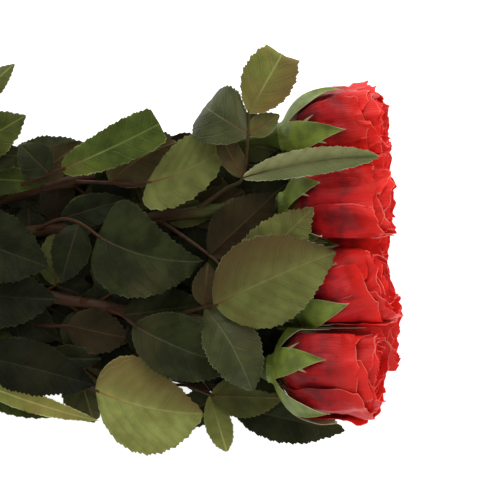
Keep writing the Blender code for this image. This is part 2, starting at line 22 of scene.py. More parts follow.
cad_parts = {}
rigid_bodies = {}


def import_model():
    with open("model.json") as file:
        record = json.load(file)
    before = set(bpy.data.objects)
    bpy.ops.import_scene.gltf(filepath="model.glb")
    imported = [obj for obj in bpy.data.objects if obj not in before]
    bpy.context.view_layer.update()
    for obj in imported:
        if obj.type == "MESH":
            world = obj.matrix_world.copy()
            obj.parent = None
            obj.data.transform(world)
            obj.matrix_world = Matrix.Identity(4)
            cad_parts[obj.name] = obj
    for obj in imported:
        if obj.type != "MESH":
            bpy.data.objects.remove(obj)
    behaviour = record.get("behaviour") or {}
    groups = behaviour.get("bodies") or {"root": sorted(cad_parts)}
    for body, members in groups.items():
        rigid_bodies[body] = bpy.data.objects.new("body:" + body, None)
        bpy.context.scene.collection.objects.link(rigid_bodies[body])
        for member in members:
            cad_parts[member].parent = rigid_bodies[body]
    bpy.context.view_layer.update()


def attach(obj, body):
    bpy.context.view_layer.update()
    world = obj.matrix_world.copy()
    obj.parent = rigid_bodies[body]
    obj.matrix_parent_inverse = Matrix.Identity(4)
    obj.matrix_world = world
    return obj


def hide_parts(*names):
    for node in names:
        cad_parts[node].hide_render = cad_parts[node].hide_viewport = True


LOG = logging.getLogger("roses")

# Settings that many nodes share.
SMOOTH = {"interpolation_type": "SMOOTHSTEP"}
COLOURS = {"data_type": "RGBA"}

# Inputs are given by name or number, or as a tuple in the sockets' own order.
Inputs = dict[str | int, object] | tuple[object, ...]
NodeAdder = Callable[..., bpy.types.Node]

# One millimetre in metres, and the distance in millimetres within which points are joined.
MM = 0.001
WELD = 0.002
UP = Vector((0.0, 0.0, 1.0))
FORWARD = Vector((1.0, 0.0, 0.0))
FOOTPRINT_SHIFT = Vector((-0.1, 1.3, 0.0))

# The bunch, as in the CAD: stems in two layers, the necks and hips, the tie and the cut ends.
GAP = 0.3
STEM_PITCH = 7.2
HALF = STEM_PITCH / 2
STEM_RADIUS = 3.3
LOW = 4.6
HIGH = LOW + STEM_PITCH * cos(radians(30))
NECK_RADIUS = 3.0
HIP_LENGTH = 12.0
HIP_RIM_RADIUS = 7.4
TIE_X = -112.0
TIE_WIDTH = 14.0
CUT_END_X = -206.0

# A leaflet's side veins: how far apart they are, how they slant and how they bend.
VEIN_PITCH = 8.2
VEIN_SLANT = 0.72
VEIN_BEND = 0.012


def linear(hex_colour: str) -> tuple[float, float, float, float]:
    """Turn an sRGB hex colour into linear red, green, blue and alpha.

    Args:
        hex_colour: The colour, such as "#c81e23".

    Returns:
        The linear colour with an alpha of 1.
    """
    parts = (int(hex_colour[i : i + 2], 16) / 255 for i in (1, 3, 5))
    red, green, blue = (c / 12.92 if c <= 0.04045 else ((c + 0.055) / 1.055) ** 2.4 for c in parts)
    return red, green, blue, 1.0


def fill_inputs(node: bpy.types.Node, inputs: Inputs) -> None:
    """Set or link a node's inputs.

    Args:
        node: The node.
        inputs: The values, sockets to link from, or nodes whose first output is linked from.
    """
    for key, value in inputs.items() if isinstance(inputs, dict) else enumerate(inputs):
        if isinstance(value, bpy.types.Node):
            value = next(output for output in value.outputs if output.enabled)
        if isinstance(value, bpy.types.NodeSocket):
            node.id_data.links.new(value, node.inputs[key])
        else:
            node.inputs[key].default_value = value


def add_node(
    tree: bpy.types.NodeTree, kind: str, inputs: Inputs = (), **settings: object
) -> bpy.types.Node:
    """Add one node with its settings, values and links.

    Args:
        tree: The material's node tree.
        kind: The node's type name, without its "ShaderNode" start.
        inputs: What the node's inputs are filled with.
        **settings: The node's own properties.

    Returns:
        The new node.
    """
    node = tree.nodes.new(f"ShaderNode{kind}")
    for name, value in settings.items():
        setattr(node, name, value)
    fill_inputs(node, inputs)
    return node


def link_object(name: str, data: bpy.types.ID) -> bpy.types.Object:
    """Put an object with this data into the scene.

    Args:
        name: The object's name.
        data: Its mesh, light or camera.

    Returns:
        The object.
    """
    obj = bpy.data.objects.new(name, data)
    bpy.context.scene.collection.objects.link(obj)
    return obj


def ring_frame(direction: Vector, up: Vector = UP) -> tuple[Vector, Vector]:
    """Find two directions square to a given one.

    Args:
        direction: The direction that they are square to.
        up: What the second is to be as near to as it can.

    Returns:
        The sideways and the upward unit vector.
    """
    side = direction.cross(up).normalized()
    return side, side.cross(direction).normalized()


def smooth_route(points: list[Vector], steps: tuple[int, ...]) -> list[Vector]:
    """Run a smooth curve through points.

    Args:
        points: The points, in order.
        steps: How many steps each span between two points gets.

    Returns:
        The points of the curve.
    """
    knots = [points[0] * 2 - points[1], *points, points[-1] * 2 - points[-2]]
    route = [points[0]]
    for index, count in enumerate(steps):
        p0, p1, p2, p3 = knots[index : index + 4]
        reach = (p2 - p1).length
        start = (p2 - p0).normalized() * reach
        end = (p3 - p1).normalized() * reach
        for step in range(1, count + 1):
            t = step / count
            rise = t * t * (3 - 2 * t)
            bulge = start * (t * (1 - t) ** 2) - end * (t * t * (1 - t))
            route.append(p1 * (1 - rise) + p2 * rise + bulge)
    return route


def bezier(start: Vector, middle: Vector, end: Vector, t: float) -> tuple[Vector, Vector]:
    """Find a place on a curve with one middle control point.

    Args:
        start: The curve's first point.
        middle: The control point.
        end: The curve's last point.
        t: How far along, from 0 to 1.

    Returns:
        The point and the curve's direction there.
    """
    point = start * (1 - t) ** 2 + middle * (2 * t * (1 - t)) + end * t**2
    return point, ((middle - start) * (1 - t) + (end - middle) * t).normalized()


def point_on(route: list[Vector], x: float) -> Vector:
    """Find the point of a route at a place along X.

    Args:
        route: The route's points, with X rising.
        x: The place.

    Returns:
        The point.
    """
    for low, high in zip(route, route[1:]):
        if low.x <= x <= high.x:
            return low.lerp(high, (x - low.x) / (high.x - low.x))
    return route[-1]


def ease(value: float, start: float, end: float) -> float:
    """Rise smoothly from 0 at start to 1 at end."""
    t = min(1.0, max(0.0, (value - start) / (end - start)))
    return t * t * (3 - 2 * t)


@dataclass(frozen=True)
class BladePoint:
    """A place on a thin blade: its two faces, and what the materials read there."""

    front: Vector
    back: Vector
    place: Vector
    tone: Vector


@dataclass(frozen=True)
class Ring:
    """One ring of a tube: its centre and its two half axes."""

    centre: Vector
    side: Vector
    up: Vector


def rings_along(line: list[Vector], radii: list[float]) -> list[Ring]:
    """Set a round ring square to a line at each of its points.

    Args:
        line: The line's points.
        radii: The ring's radius at each point.

    Returns:
        The rings.
    """
    rings = []
    for index, (point, radius) in enumerate(zip(line, radii)):
        before = line[max(index - 1, 0)]
        after = line[min(index + 1, len(line) - 1)]
        side, up = ring_frame((after - before).normalized())
        rings.append(Ring(point, side * radius, up * radius))
    return rings


class MeshBuilder:
    """One growing mesh of closed tubes and thin closed blades, in millimetres."""

    def __init__(self, name: str) -> None:
        """Start an empty mesh with the attributes that the materials read.

        Args:
            name: The name of the piece.
        """
        self.name = name
        self.bm = bmesh.new()
        self.place = self.bm.verts.layers.float_vector.new("place_mm")
        self.tone = self.bm.verts.layers.float_vector.new("tone")

    def blade(
        self,
        columns: int,
        rows: int,
        surface: Callable[[float, float], BladePoint],
        materials: tuple[int, int],
    ) -> None:
        """Add a thin closed blade: a flat grid, thickened by an extrusion and then shaped.

        Args:
            columns: Faces across.
            rows: Faces along.
            surface: Gives the blade's point at u in -1..1 and v in 0..1.
            materials: The material numbers of the front and of the back.
        """
        made = bmesh.ops.create_grid(self.bm, x_segments=columns, y_segments=rows, size=1.0)
        front = made["verts"]
        faces = list(dict.fromkeys(face for vert in front for face in vert.link_faces))
        grown = bmesh.ops.extrude_face_region(self.bm, geom=faces)["geom"]
        back = [item for item in grown if isinstance(item, bmesh.types.BMVert)]
        for face in dict.fromkeys(face for vert in back for face in vert.link_faces):
            face.material_index = materials[1]
        for face in faces:
            face.material_index = materials[0]
        known: dict[tuple[float, float], BladePoint] = {}
        for verts, in_front in ((front, True), (back, False)):
            for vert in verts:
                key = (round(vert.co.x, 4), round((vert.co.y + 1) / 2, 4))
                if key not in known:
                    known[key] = surface(*key)
                at = known[key]
                vert.co = at.front if in_front else at.back
                vert[self.place] = at.place
                vert[self.tone] = at.tone

    def tube(
        self, rings: list[Ring], sides: int, material: int = 0, cap: int | None = None
    ) -> None:
        """Add a closed tube: a disc that is extruded from ring to ring.

        Args:
            rings: The rings, in order.
            sides: How many sides the tube has.
            material: The wall's material number.
            cap: The first end's material number, where it isn't the wall's.
        """
        disc = bmesh.ops.create_circle(self.bm, cap_ends=True, segments=sides, radius=1.0)
        face = disc["verts"][0].link_faces[0]
        first = face
        made = []
        along = 0.0
        for index, ring in enumerate(rings):
            if index:
                along += (ring.centre - rings[index - 1].centre).length
                grown = bmesh.ops.extrude_face_region(self.bm, geom=[face])["geom"]
                if index > 1:
                    bmesh.ops.delete(self.bm, geom=[face], context="FACES_ONLY")
                face = next(item for item in grown if isinstance(item, bmesh.types.BMFace))
            for corner, vert in enumerate(face.verts):
                angle = 2 * pi * (corner + 0.5) / sides - pi / 2
                vert.co = ring.centre + ring.side * cos(angle) + ring.up * sin(angle)
                vert[self.place] = Vector((ring.side.length * angle, along, along))
                made.append(vert)
        for vert in made:
            for wall in vert.link_faces if vert.is_valid else ():
                wall.material_index = material
        if cap is not None:
            first.material_index = cap

    def finish(self, materials: list[bpy.types.Material], sharp: float) -> bpy.types.Object:
        """Turn the mesh into an object with outward faces, in metres.

        Args:
            materials: The materials, in the order of their numbers.
            sharp: The angle past which an edge isn't shaded smooth, in degrees.

        Returns:
            The object, linked to the scene.
        """
        bm = self.bm
        bmesh.ops.remove_doubles(bm, verts=bm.verts[:], dist=WELD)
        bmesh.ops.recalc_face_normals(bm, faces=bm.faces[:])
        bmesh.ops.translate(bm, verts=bm.verts[:], vec=FOOTPRINT_SHIFT)
        bmesh.ops.scale(bm, verts=bm.verts[:], vec=(MM, MM, MM))
        mesh = bpy.data.meshes.new(self.name)
        bm.to_mesh(mesh)
        bm.free()
        for material in materials:
            mesh.materials.append(material)
        mesh.shade_smooth()
        mesh.set_sharp_from_angle(angle=radians(sharp))
        return link_object(self.name, mesh)


def place_piece(obj: bpy.types.Object, slot: str, *nodes: str) -> None:
    """Let a piece ride on the bunch and hide the CAD nodes that it stands for.

    Args:
        obj: The piece.
        slot: The record's material slot; it is not used.
        *nodes: The CAD nodes that the piece replaces.
    """
    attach(obj, "root")
    if nodes:
        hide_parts(*nodes)
    LOG.info("%s: %d faces", obj.name, len(obj.data.polygons))


@dataclass(frozen=True)
class Finish:
    """The look of one surface: a procedural material that is made once."""

    name: str

    def material(self) -> bpy.types.Material:
        """Find the material, or make it.

        Returns:
            The material.
        """
        found = bpy.data.materials.get(self.name)
        if found:
            return found
        made = bpy.data.materials.new(self.name)
        made.use_nodes = True
        tree = made.node_tree
        fill_inputs(tree.nodes["Principled BSDF"], self.looks(partial(add_node, tree)))
        return made

    def looks(self, add: NodeAdder) -> Inputs:
        """Make the nodes of the material.

        Args:
            add: Adds a node to the material's tree.

        Returns:
            The shader's inputs.
        """
        raise NotImplementedError


@dataclass(frozen=True)
class LeafFinish(Finish):
    """One side of a living rose leaf: a waxy or matte skin over a net of veins.

    Relief is how far the veins stand out, in millimetres, or sink in where it is negative.
    """

    body: str
    mottle: str
    blush: str
    vein: str
    midrib: str
    margin: str
    roughness: float
    relief: float
    foot: str = "#54402a"
    shine: float = 0.09
    vein_strength: float = 0.34
    net_cell: float = 1.7

    def looks(self, add: NodeAdder) -> Inputs:
        """Make the nodes: blotches of 13 mm, blushes and painted shading of 36 mm, grain of 1 mm,
        and the veins.

        Args:
            add: Adds a node to the material's tree.

        Returns:
            The shader's inputs.
        """
        place = add("Attribute", attribute_name="place_mm").outputs["Vector"]
        at = add("SeparateXYZ", (place,)).outputs
        tone = add("Attribute", attribute_name="tone").outputs["Vector"]
        own = add("SeparateXYZ", (tone,)).outputs
        coords = add("TexCoord").outputs["Object"]
        # Side veins leave the midrib at about fifty degrees, bend towards the tip and wander.
        across = add("Math", (at[0],), operation="ABSOLUTE")
        slant = add("Math", (across, -VEIN_SLANT, at[1]), operation="MULTIPLY_ADD")
        bend = add("Math", (across, across), operation="MULTIPLY")
        curved = add("Math", (bend, -VEIN_BEND, slant), operation="MULTIPLY_ADD")
        wander = add("TexNoise", {"Vector": place, "Scale": 0.06, "Detail": 2.0})
        moved = add("Math", (wander, 8.0, curved), operation="MULTIPLY_ADD")
        steps = add("Math", (moved, 1 / VEIN_PITCH), operation="MULTIPLY")
        near = add("Math", (steps, 0.5), operation="PINGPONG")
        side_line = add("MapRange", (near, 0.0, 0.075, 1.0, 0.0), **SMOOTH)
        middle_line = add("MapRange", (across, 0.15, 0.75, 1.0, 0.0), **SMOOTH)
        # Between them lies a fine net, with cells of about 1.7 mm.
        cells = add(
            "TexVoronoi",
            {"Vector": place, "Scale": 1 / self.net_cell, "Randomness": 0.9},
            feature="DISTANCE_TO_EDGE",
            voronoi_dimensions="2D",
        )
        net_line = add("MapRange", (cells, 0.0, 0.11, 0.4, 0.0), **SMOOTH)
        lines = add("Math", (side_line, net_line), operation="MAXIMUM")
        # The skin is mottled, and browned where the sun has caught it.
        blotch = add("TexNoise", {"Vector": coords, "Scale": 75.0, "Detail": 3.0, "Roughness": 0.6})
        grain = add("TexNoise", {"Vector": coords, "Scale": 900.0, "Detail": 2.0})
        patches = add("MapRange", (blotch, 0.36, 0.66), **SMOOTH)
        skin = add("Mix", {0: patches, 6: linear(self.body), 7: linear(self.mottle)}, **COLOURS)
        flush = add("TexNoise", {"Vector": coords, "Scale": 28.0, "Detail": 3.0})
        flushed = add("MapRange", (flush, 0.48, 0.68, 0.0, 0.55), **SMOOTH)
        warmth = add("Math", (own[1], flushed), operation="MAXIMUM")
        warm = add("Mix", {0: warmth, 6: skin, 7: linear(self.blush)}, **COLOURS)
        shown_lines = add("Math", (lines, self.vein_strength), operation="MULTIPLY")
        veined = add("Mix", {0: shown_lines, 6: warm, 7: linear(self.vein)}, **COLOURS)
        # The midrib is red-brown where it leaves the petiole and pales towards the tip.
        paling = add("MapRange", (at[1], 3.0, 26.0), **SMOOTH)
        rib = add("Mix", {0: paling, 6: linear(self.foot), 7: linear(self.midrib)}, **COLOURS)
        fading = add("MapRange", (at[1], 15.0, 60.0, 0.9, 0.35))
        rib_shown = add("Math", (middle_line, fading), operation="MULTIPLY")
        ribbed = add("Mix", {0: rib_shown, 6: veined, 7: rib}, **COLOURS)
        # Painted light: the teeth have a thin pale rim here and there, a painted rim light.
        rim_light_mask = add("MapRange", (at[2], 0.1, 0.65, 1.0, 0.0), **SMOOTH)
        partial_rim_light = add("Math", (patches, 0.65), operation="MULTIPLY")
        rim_light_shown = add("Math", (rim_light_mask, partial_rim_light), operation="MULTIPLY")
        rimmed = add("Mix", {0: rim_light_shown, 6: ribbed, 7: linear(self.margin)}, **COLOURS)
        # Painted light and shade: patches of 36 mm, and each leaflet's tone for where it lies in
        # the bunch.
        uneven = add("Math", (flush, 0.9, 0.55), operation="MULTIPLY_ADD")
        bright = add("Math", (own[0], 0.45, uneven), operation="MULTIPLY_ADD")
        # Painted shade: the blade swells between its side veins, and is painted darker along them.
        swell = add("MapRange", (near, 0.0, 0.4, 0.93, 1.03), **SMOOTH)
        shaded = add("Math", (bright, swell), operation="MULTIPLY")
        toned = add("HueSaturation", {"Color": rimmed, "Value": shaded})
        # Wax lies unevenly, so the sheen comes and goes.
        gloss = add("MapRange", (blotch, 0.3, 0.7, self.roughness - 0.06, self.roughness + 0.1))
        ridge = add("Math", (middle_line, lines), operation="MAXIMUM")
        height = add("Math", (grain, 0.25, ridge), operation="MULTIPLY_ADD")
        raised = {"Strength": 1.0, "Distance": abs(self.relief) * MM, "Height": height}
        return {
            "Base Color": toned,
            "Roughness": gloss,
            "Normal": add("Bump", raised, invert=self.relief < 0),
            "Specular IOR Level": self.shine,
            "Subsurface Weight": 0.12,
            "Subsurface Radius": (0.5, 1.0, 0.25),
            "Subsurface Scale": 0.5 * MM,
        }


class Foliage(Enum):
    """How a leaflet has grown, which gives the finishes of its two sides; one kind is a painted
    sheen.
    """

    DARK = "dark"
    BLUE = "blue"
    FRESH = "fresh"
    OLIVE = "olive"
    BRONZE = "bronze"
    PALE = "pale"
    PAINTED_SHEEN = "grey"


DARK, BLUE, FRESH = Foliage.DARK, Foliage.BLUE, Foliage.FRESH
OLIVE, BRONZE, PALE, PAINTED_SHEEN = Foliage.OLIVE, Foliage.BRONZE, Foliage.PALE, Foliage.PAINTED_SHEEN

# A living rose leaf. Its upper side is waxy, so the sky light lies on it as a grey sheen, with
# the veins sunk in as thin lines. Each row has the colours of the skin, mottle, blush, veins,
# midrib and margin, then the roughness and the relief.
# The margin column is a painted rim light.
UPPER_SIDES = {
    kind: LeafFinish(f"leaf_upper_{kind.value}", *row, shine=0.2 if kind is BLUE else 0.09)
    for kind, row in (
        (DARK, ("#23270f", "#343a1c", "#3a341c", "#363c20", "#444a2a", "#5f6440", 0.38, -0.25)),
        (BLUE, ("#383d1c", "#484e28", "#433c20", "#525932", "#5c623a", "#8f906a", 0.34, -0.25)),
        (FRESH, ("#2f3a12", "#414d1a", "#4c4a1e", "#56632c", "#66703a", "#868c56", 0.38, -0.28)),
        (OLIVE, ("#34371a", "#3f4222", "#4a4222", "#4f5530", "#65673a", "#84845a", 0.42, -0.25)),
        (BRONZE, ("#33290f", "#3e3218", "#4a3220", "#4a4024", "#5c482a", "#786644", 0.42, -0.22)),
        (PALE, ("#545a2a", "#626838", "#6b6438", "#757c46", "#8c8e58", "#b4b288", 0.42, -0.22)),
        # The grey row: its pale skin is a painted sheen, and its darker blush is painted shade.
        (PAINTED_SHEEN, ("#7c7f56", "#8c8a60", "#47502f", "#86865f", "#9a9874", "#b8b096", 0.42, -0.22)),
    )
}
# Its underside is matte and paler, and the net of veins stands out like cords. The last column
# is the colour of the midrib's foot.
# The margin column is a painted rim light here too.
UNDERSIDES = {
    kind: LeafFinish(f"leaf_under_{kind.value}", *row)
    for kind, row in (
        (DARK, ("#3c3f22", "#474a2a", "#4c4426", "#555a36", "#696b42", "#8a8a60", 0.6, 0.22)),
        (BLUE, ("#484c2e", "#525638", "#544a2e", "#62663f", "#74764c", "#a6a480", 0.6, 0.22)),
        (FRESH, ("#545c26", "#616a30", "#6a6230", "#717a3c", "#8c8f4c", "#a6a86a", 0.58, 0.22)),
        (OLIVE, ("#656733", "#747a40", "#5a4828", "#7b784a", "#837c4c", "#a09a70",
         0.6, 0.2, "#76492a")),
        (BRONZE, ("#443a20", "#504528", "#4a3426", "#5c5132", "#6e5836", "#7e7048",
         0.6, 0.2, "#5c3a22")),
        (PALE, ("#6e7234", "#80853f", "#7c6638", "#93905c", "#a8a468", "#c4c096",
         0.6, 0.2, "#7c7040")),
        (PAINTED_SHEEN, ("#8a8558", "#969062", "#9c7d56", "#a29c70", "#b4ac80", "#c4c096",
         0.6, 0.2, "#7c7040")),
    )
}


@dataclass(frozen=True)
class PetalFinish(Finish):
    """A living rose petal: a velvet skin of tiny cones, deep red and a little see-through.

    It glows where light comes through it, partly as a painted glow at its tops, and wine-red
    blotches are painted shade for its folds.
    """

    name: str = "rose_petal_velvet"
    body: str = "#b81318"
    fold: str = "#771318"
    painted_glow: str = "#e6271e"
    edge: str = "#ee8a7a"
    claw: str = "#c9a070"
    faded: str = "#d98a86"
    sheen: str = "#ff7060"
    roughness: float = 0.45

    def looks(self, add: NodeAdder) -> Inputs:
        """Make the nodes: painted fold shade in blotches of 11 mm, pale edge spots of 14 mm, veins
        and a painted glow.

        Args:
            add: Adds a node to the material's tree.

        Returns:
            The shader's inputs.
        """
        place = add("Attribute", attribute_name="place_mm").outputs["Vector"]
        at = add("SeparateXYZ", (place,)).outputs
        tone = add("Attribute", attribute_name="tone").outputs["Vector"]
        own = add("SeparateXYZ", (tone,)).outputs
        coords = add("TexCoord").outputs["Object"]
        # Painted shade: wine-red blotches stand for the shade in the petal's folds.
        blotch = add("TexNoise", {"Vector": coords, "Scale": 90.0, "Detail": 3.0, "Roughness": 0.6})
        patches = add("MapRange", (blotch, 0.38, 0.64), **SMOOTH)
        skin = add("Mix", {0: patches, 6: linear(self.body), 7: linear(self.fold)}, **COLOURS)
        # Fine veins fan out along the petal, about one to a millimetre.
        squeezed = add("Mapping", {"Vector": place, "Scale": (1.1, 0.045, 1.0)})
        veins = add("TexNoise", {"Vector": squeezed, "Scale": 1.0, "Detail": 3.0})
        streaks = add("MapRange", (veins, 0.42, 0.72, 0.0, 0.4), **SMOOTH)
        veined = add("Mix", {0: streaks, 6: skin, 7: linear(self.fold)}, **COLOURS)
        # Painted light: the tops are painted brighter red, as a glow of light through the petal.
        top = add("MapRange", (at[2], 0.6, 1.0, 0.0, 0.9), **SMOOTH)
        glow_painted = add("Mix", {0: top, 6: veined, 7: linear(self.painted_glow)}, **COLOURS)
        # A petal's thin edge is paler here and there.
        line = add("MapRange", (own[2], 0.05, 0.6, 0.6, 0.0), **SMOOTH)
        edge_noise = add("TexNoise", {"Vector": coords, "Scale": 70.0, "Detail": 1.0})
        pale_edge_spots = add("MapRange", (edge_noise, 0.44, 0.62), **SMOOTH)
        shown = add("Math", (line, pale_edge_spots), operation="MULTIPLY")
        rimmed = add("Mix", {0: shown, 6: glow_painted, 7: linear(self.edge)}, **COLOURS)
        # Its foot is yellowish, and a faded patch lies on some of the outer petals.
        base = add("MapRange", (at[2], 0.04, 0.2, 1.0, 0.0), **SMOOTH)
        clawed = add("Mix", {0: base, 6: rimmed, 7: linear(self.claw)}, **COLOURS)
        paled = add("Mix", {0: own[1], 6: clawed, 7: linear(self.faded)}, **COLOURS)
        bright = add("Math", (own[0], 0.35, 1.0), operation="MULTIPLY_ADD")
        toned = add("HueSaturation", {"Color": paled, "Value": bright})
        height = add("Math", (veins, blotch), operation="ADD")
        return {
            "Base Color": toned,
            "Roughness": self.roughness,
            "Normal": add("Bump", {"Strength": 1.0, "Distance": 0.35 * MM, "Height": height}),
            "Subsurface Weight": 0.25,
            "Subsurface Radius": (2.0, 0.25, 0.2),
            "Subsurface Scale": 0.8 * MM,
            "Sheen Weight": 0.05,
            "Sheen Tint": linear(self.sheen),
            "Specular IOR Level": 0.2,
        }


@dataclass(frozen=True)
class SepalFinish(Finish):
    """A rose sepal: a fresh green leaf whose pale downy margin catches the light."""

    body: str
    shade: str
    margin: str
    roughness: float

    def looks(self, add: NodeAdder) -> Inputs:
        """Make the nodes: patches of 7 mm, fibres of 0.6 mm along the sepal, and the margin.

        Args:
            add: Adds a node to the material's tree.

        Returns:
            The shader's inputs.
        """
        place = add("Attribute", attribute_name="place_mm").outputs["Vector"]
        at = add("SeparateXYZ", (place,)).outputs
        coords = add("TexCoord").outputs["Object"]
        blotch = add("TexNoise", {"Vector": coords, "Scale": 140.0, "Detail": 3.0})
        patches = add("MapRange", (blotch, 0.35, 0.68), **SMOOTH)
        skin = add("Mix", {0: patches, 6: linear(self.body), 7: linear(self.shade)}, **COLOURS)
        squeezed = add("Mapping", {"Vector": place, "Scale": (1.6, 0.06, 0.0)})
        fibres = add("TexNoise", {"Vector": squeezed, "Scale": 1.0, "Detail": 2.0})
        edge = add("MapRange", (at[2], 0.08, 0.45, 0.6, 0.0), **SMOOTH)
        return {
            "Base Color": add("Mix", {0: edge, 6: skin, 7: linear(self.margin)}, **COLOURS),
            "Roughness": self.roughness,
            "Normal": add("Bump", {"Strength": 0.8, "Distance": 0.3 * MM, "Height": fibres}),
            "Subsurface Weight": 0.15,
            "Subsurface Radius": (0.6, 1.0, 0.3),
            "Subsurface Scale": 0.5 * MM,
        }


SEPAL_OUTSIDE = SepalFinish("sepal_outside", "#738622", "#59661c", "#c0ac74", 0.55)
SEPAL_INSIDE = SepalFinish("sepal_inside_down", "#7d8650", "#8a8c60", "#c8bc98", 0.75)


@dataclass(frozen=True)
class StemFinish(Finish):
    """A rose stem's smooth rind: green and faintly shiny, with red where the sun has caught it.

    The red share goes from red_from to red_to along X, in millimetres.
    """

    green: str
    red: str
    red_from: float
    red_to: float
    roughness: float = 0.42

    def looks(self, add: NodeAdder) -> Inputs:
        """Make the nodes: streaks of 2 by 17 mm along the stem, and blushes of 17 mm.

        Args:
            add: Adds a node to the material's tree.

        Returns:
            The shader's inputs.
        """
        coords = add("TexCoord").outputs["Object"]
        at = add("SeparateXYZ", (coords,)).outputs
        stretched = add("Mapping", {"Vector": coords, "Scale": (0.14, 1.0, 1.0)})
        streak = add("TexNoise", {"Vector": stretched, "Scale": 420.0, "Detail": 3.0})
        blotch = add("TexNoise", {"Vector": coords, "Scale": 60.0, "Detail": 3.0})
        share = add("MapRange", (at[0], self.red_from * MM, self.red_to * MM, 1.0, 0.0), **SMOOTH)
        mixed = add("Math", (blotch, 1.3, -0.65), operation="MULTIPLY_ADD")
        uneven = add("Math", (share, mixed), operation="ADD", use_clamp=True)
        rind = add("Mix", {0: uneven, 6: linear(self.green), 7: linear(self.red)}, **COLOURS)
        bright = add("MapRange", (streak, 0.3, 0.7, 0.75, 1.25))
        return {
            "Base Color": add("HueSaturation", {"Color": rind, "Value": bright}),
            "Roughness": self.roughness,
            "Normal": add("Bump", {"Strength": 0.7, "Distance": 0.25 * MM, "Height": streak}),
            "Specular IOR Level": 0.15,
        }


STEM_RIND = StemFinish("stem_rind", "#46561e", "#3e2718", 60, 150)
PETIOLE_RIND = StemFinish("petiole_rind", "#3a3f1a", "#3f2417", 20, 240)
THORN_SKIN = StemFinish("thorn_skin", "#54391f", "#45251a", -60, 200, 0.35)


@dataclass(frozen=True)
class PithFinish(Finish):
    """The cut end of a stem: pale wet pith, whose cells show as a fine grain."""

    name: str = "cut_pith"

    def looks(self, add: NodeAdder) -> Inputs:
        """Make the nodes: a grain of 0.7 mm.

        Args:
            add: Adds a node to the material's tree.

        Returns:
            The shader's inputs.
        """
        coords = add("TexCoord").outputs["Object"]
        grain = add("TexNoise", {"Vector": coords, "Scale": 1500.0, "Detail": 2.0})
        pith = add("Mix", {0: grain, 6: linear("#b9bd86"), 7: linear("#dcdcb4")}, **COLOURS)
        return {"Base Color": pith, "Roughness": 0.4}


@dataclass(frozen=True)
class RaffiaFinish(Finish):
    """Raffia: a dry matte palm fibre, straw-coloured with darker lines along it."""

    name: str = "raffia_fibre"

    def looks(self, add: NodeAdder) -> Inputs:
        """Make the nodes: fibres of 0.3 mm along the strand.

        Args:
            add: Adds a node to the material's tree.

        Returns:
            The shader's inputs.
        """
        place = add("Attribute", attribute_name="place_mm").outputs["Vector"]
        stretched = add("Mapping", {"Vector": place, "Scale": (3.2, 0.08, 0.0)})
        fibre = add("TexNoise", {"Vector": stretched, "Scale": 1.0, "Detail": 4.0})
        straw = add("Mix", {0: fibre, 6: linear("#8f7040"), 7: linear("#dcc08a")}, **COLOURS)
        return {
            "Base Color": straw,
            "Roughness": 0.72,
            "Normal": add("Bump", {"Strength": 1.0, "Distance": 0.3 * MM, "Height": fibre}),
        }


@dataclass(frozen=True)
class Rose:
    """One rose: where its stem passes, where its head lies, and the head's radius and length."""

    name: str
    tie: tuple[float, float]
    middle: tuple[float, float, float]
    hip: tuple[float, float, float]
    head: tuple[float, float, float]
    radius: float
    length: float
    turn: float
    sepals: tuple[int, ...]
    sepal_length: float

    def number(self) -> int:
        """Give the rose's number in the bunch, from 1."""
        return ord(self.name) - ord("a") + 1

    def axis(self) -> Vector:
        """Give the direction in which the head points."""
        return (Vector(self.head) - Vector(self.hip)).normalized()

    def neck(self) -> Vector:
        """Give the place where the stem meets the hip."""
        return Vector(self.hip) - self.axis() * HIP_LENGTH

    def route(self, spans: tuple[int, ...] = (8, 4, 16, 12, 8)) -> list[Vector]:
        """Lay the stem's line from its cut end to its neck.

        Args:
            spans: The steps of each span.

        Returns:
            The line's points.
        """
        tie_y, tie_z = self.tie
        neck = self.neck()
        end = Vector((CUT_END_X + 3 * abs(tie_y) / STEM_PITCH, tie_y * 1.25, tie_z))
        tie_start = Vector((TIE_X - TIE_WIDTH, tie_y, tie_z))
        tie_end = Vector((TIE_X + TIE_WIDTH, tie_y, tie_z))
        middle = Vector(self.middle)
        bend = neck - self.axis() * 16 + (middle - neck).normalized() * 8
        return smooth_route([end, tie_start, tie_end, middle, bend, neck], spans)

    def bloom_radius(self, s: float) -> float:
        """Give the bloom's radius at s of its length above the hip: a steep cup, then level."""
        return self.radius * (1 - exp(-s / 0.12)) * (1 - 0.1 * s**3) + 6.0 * exp(-s / 0.08)

    def planes(self) -> list[tuple[Vector, Vector]]:
        """Find the planes between this head and each that touches it, set by the heads' radii.

        Returns:
            A point and a direction away from this head for each.
        """
        found = []
        here = Vector(self.head)
        for other in ROSES:
            away = Vector(other.head) - here
            away.x = 0.0
            if other.name != self.name and away.length < self.radius + other.radius + 6:
                share = self.radius / (self.radius + other.radius)
                found.append((here + away * share, away.normalized()))
        return found


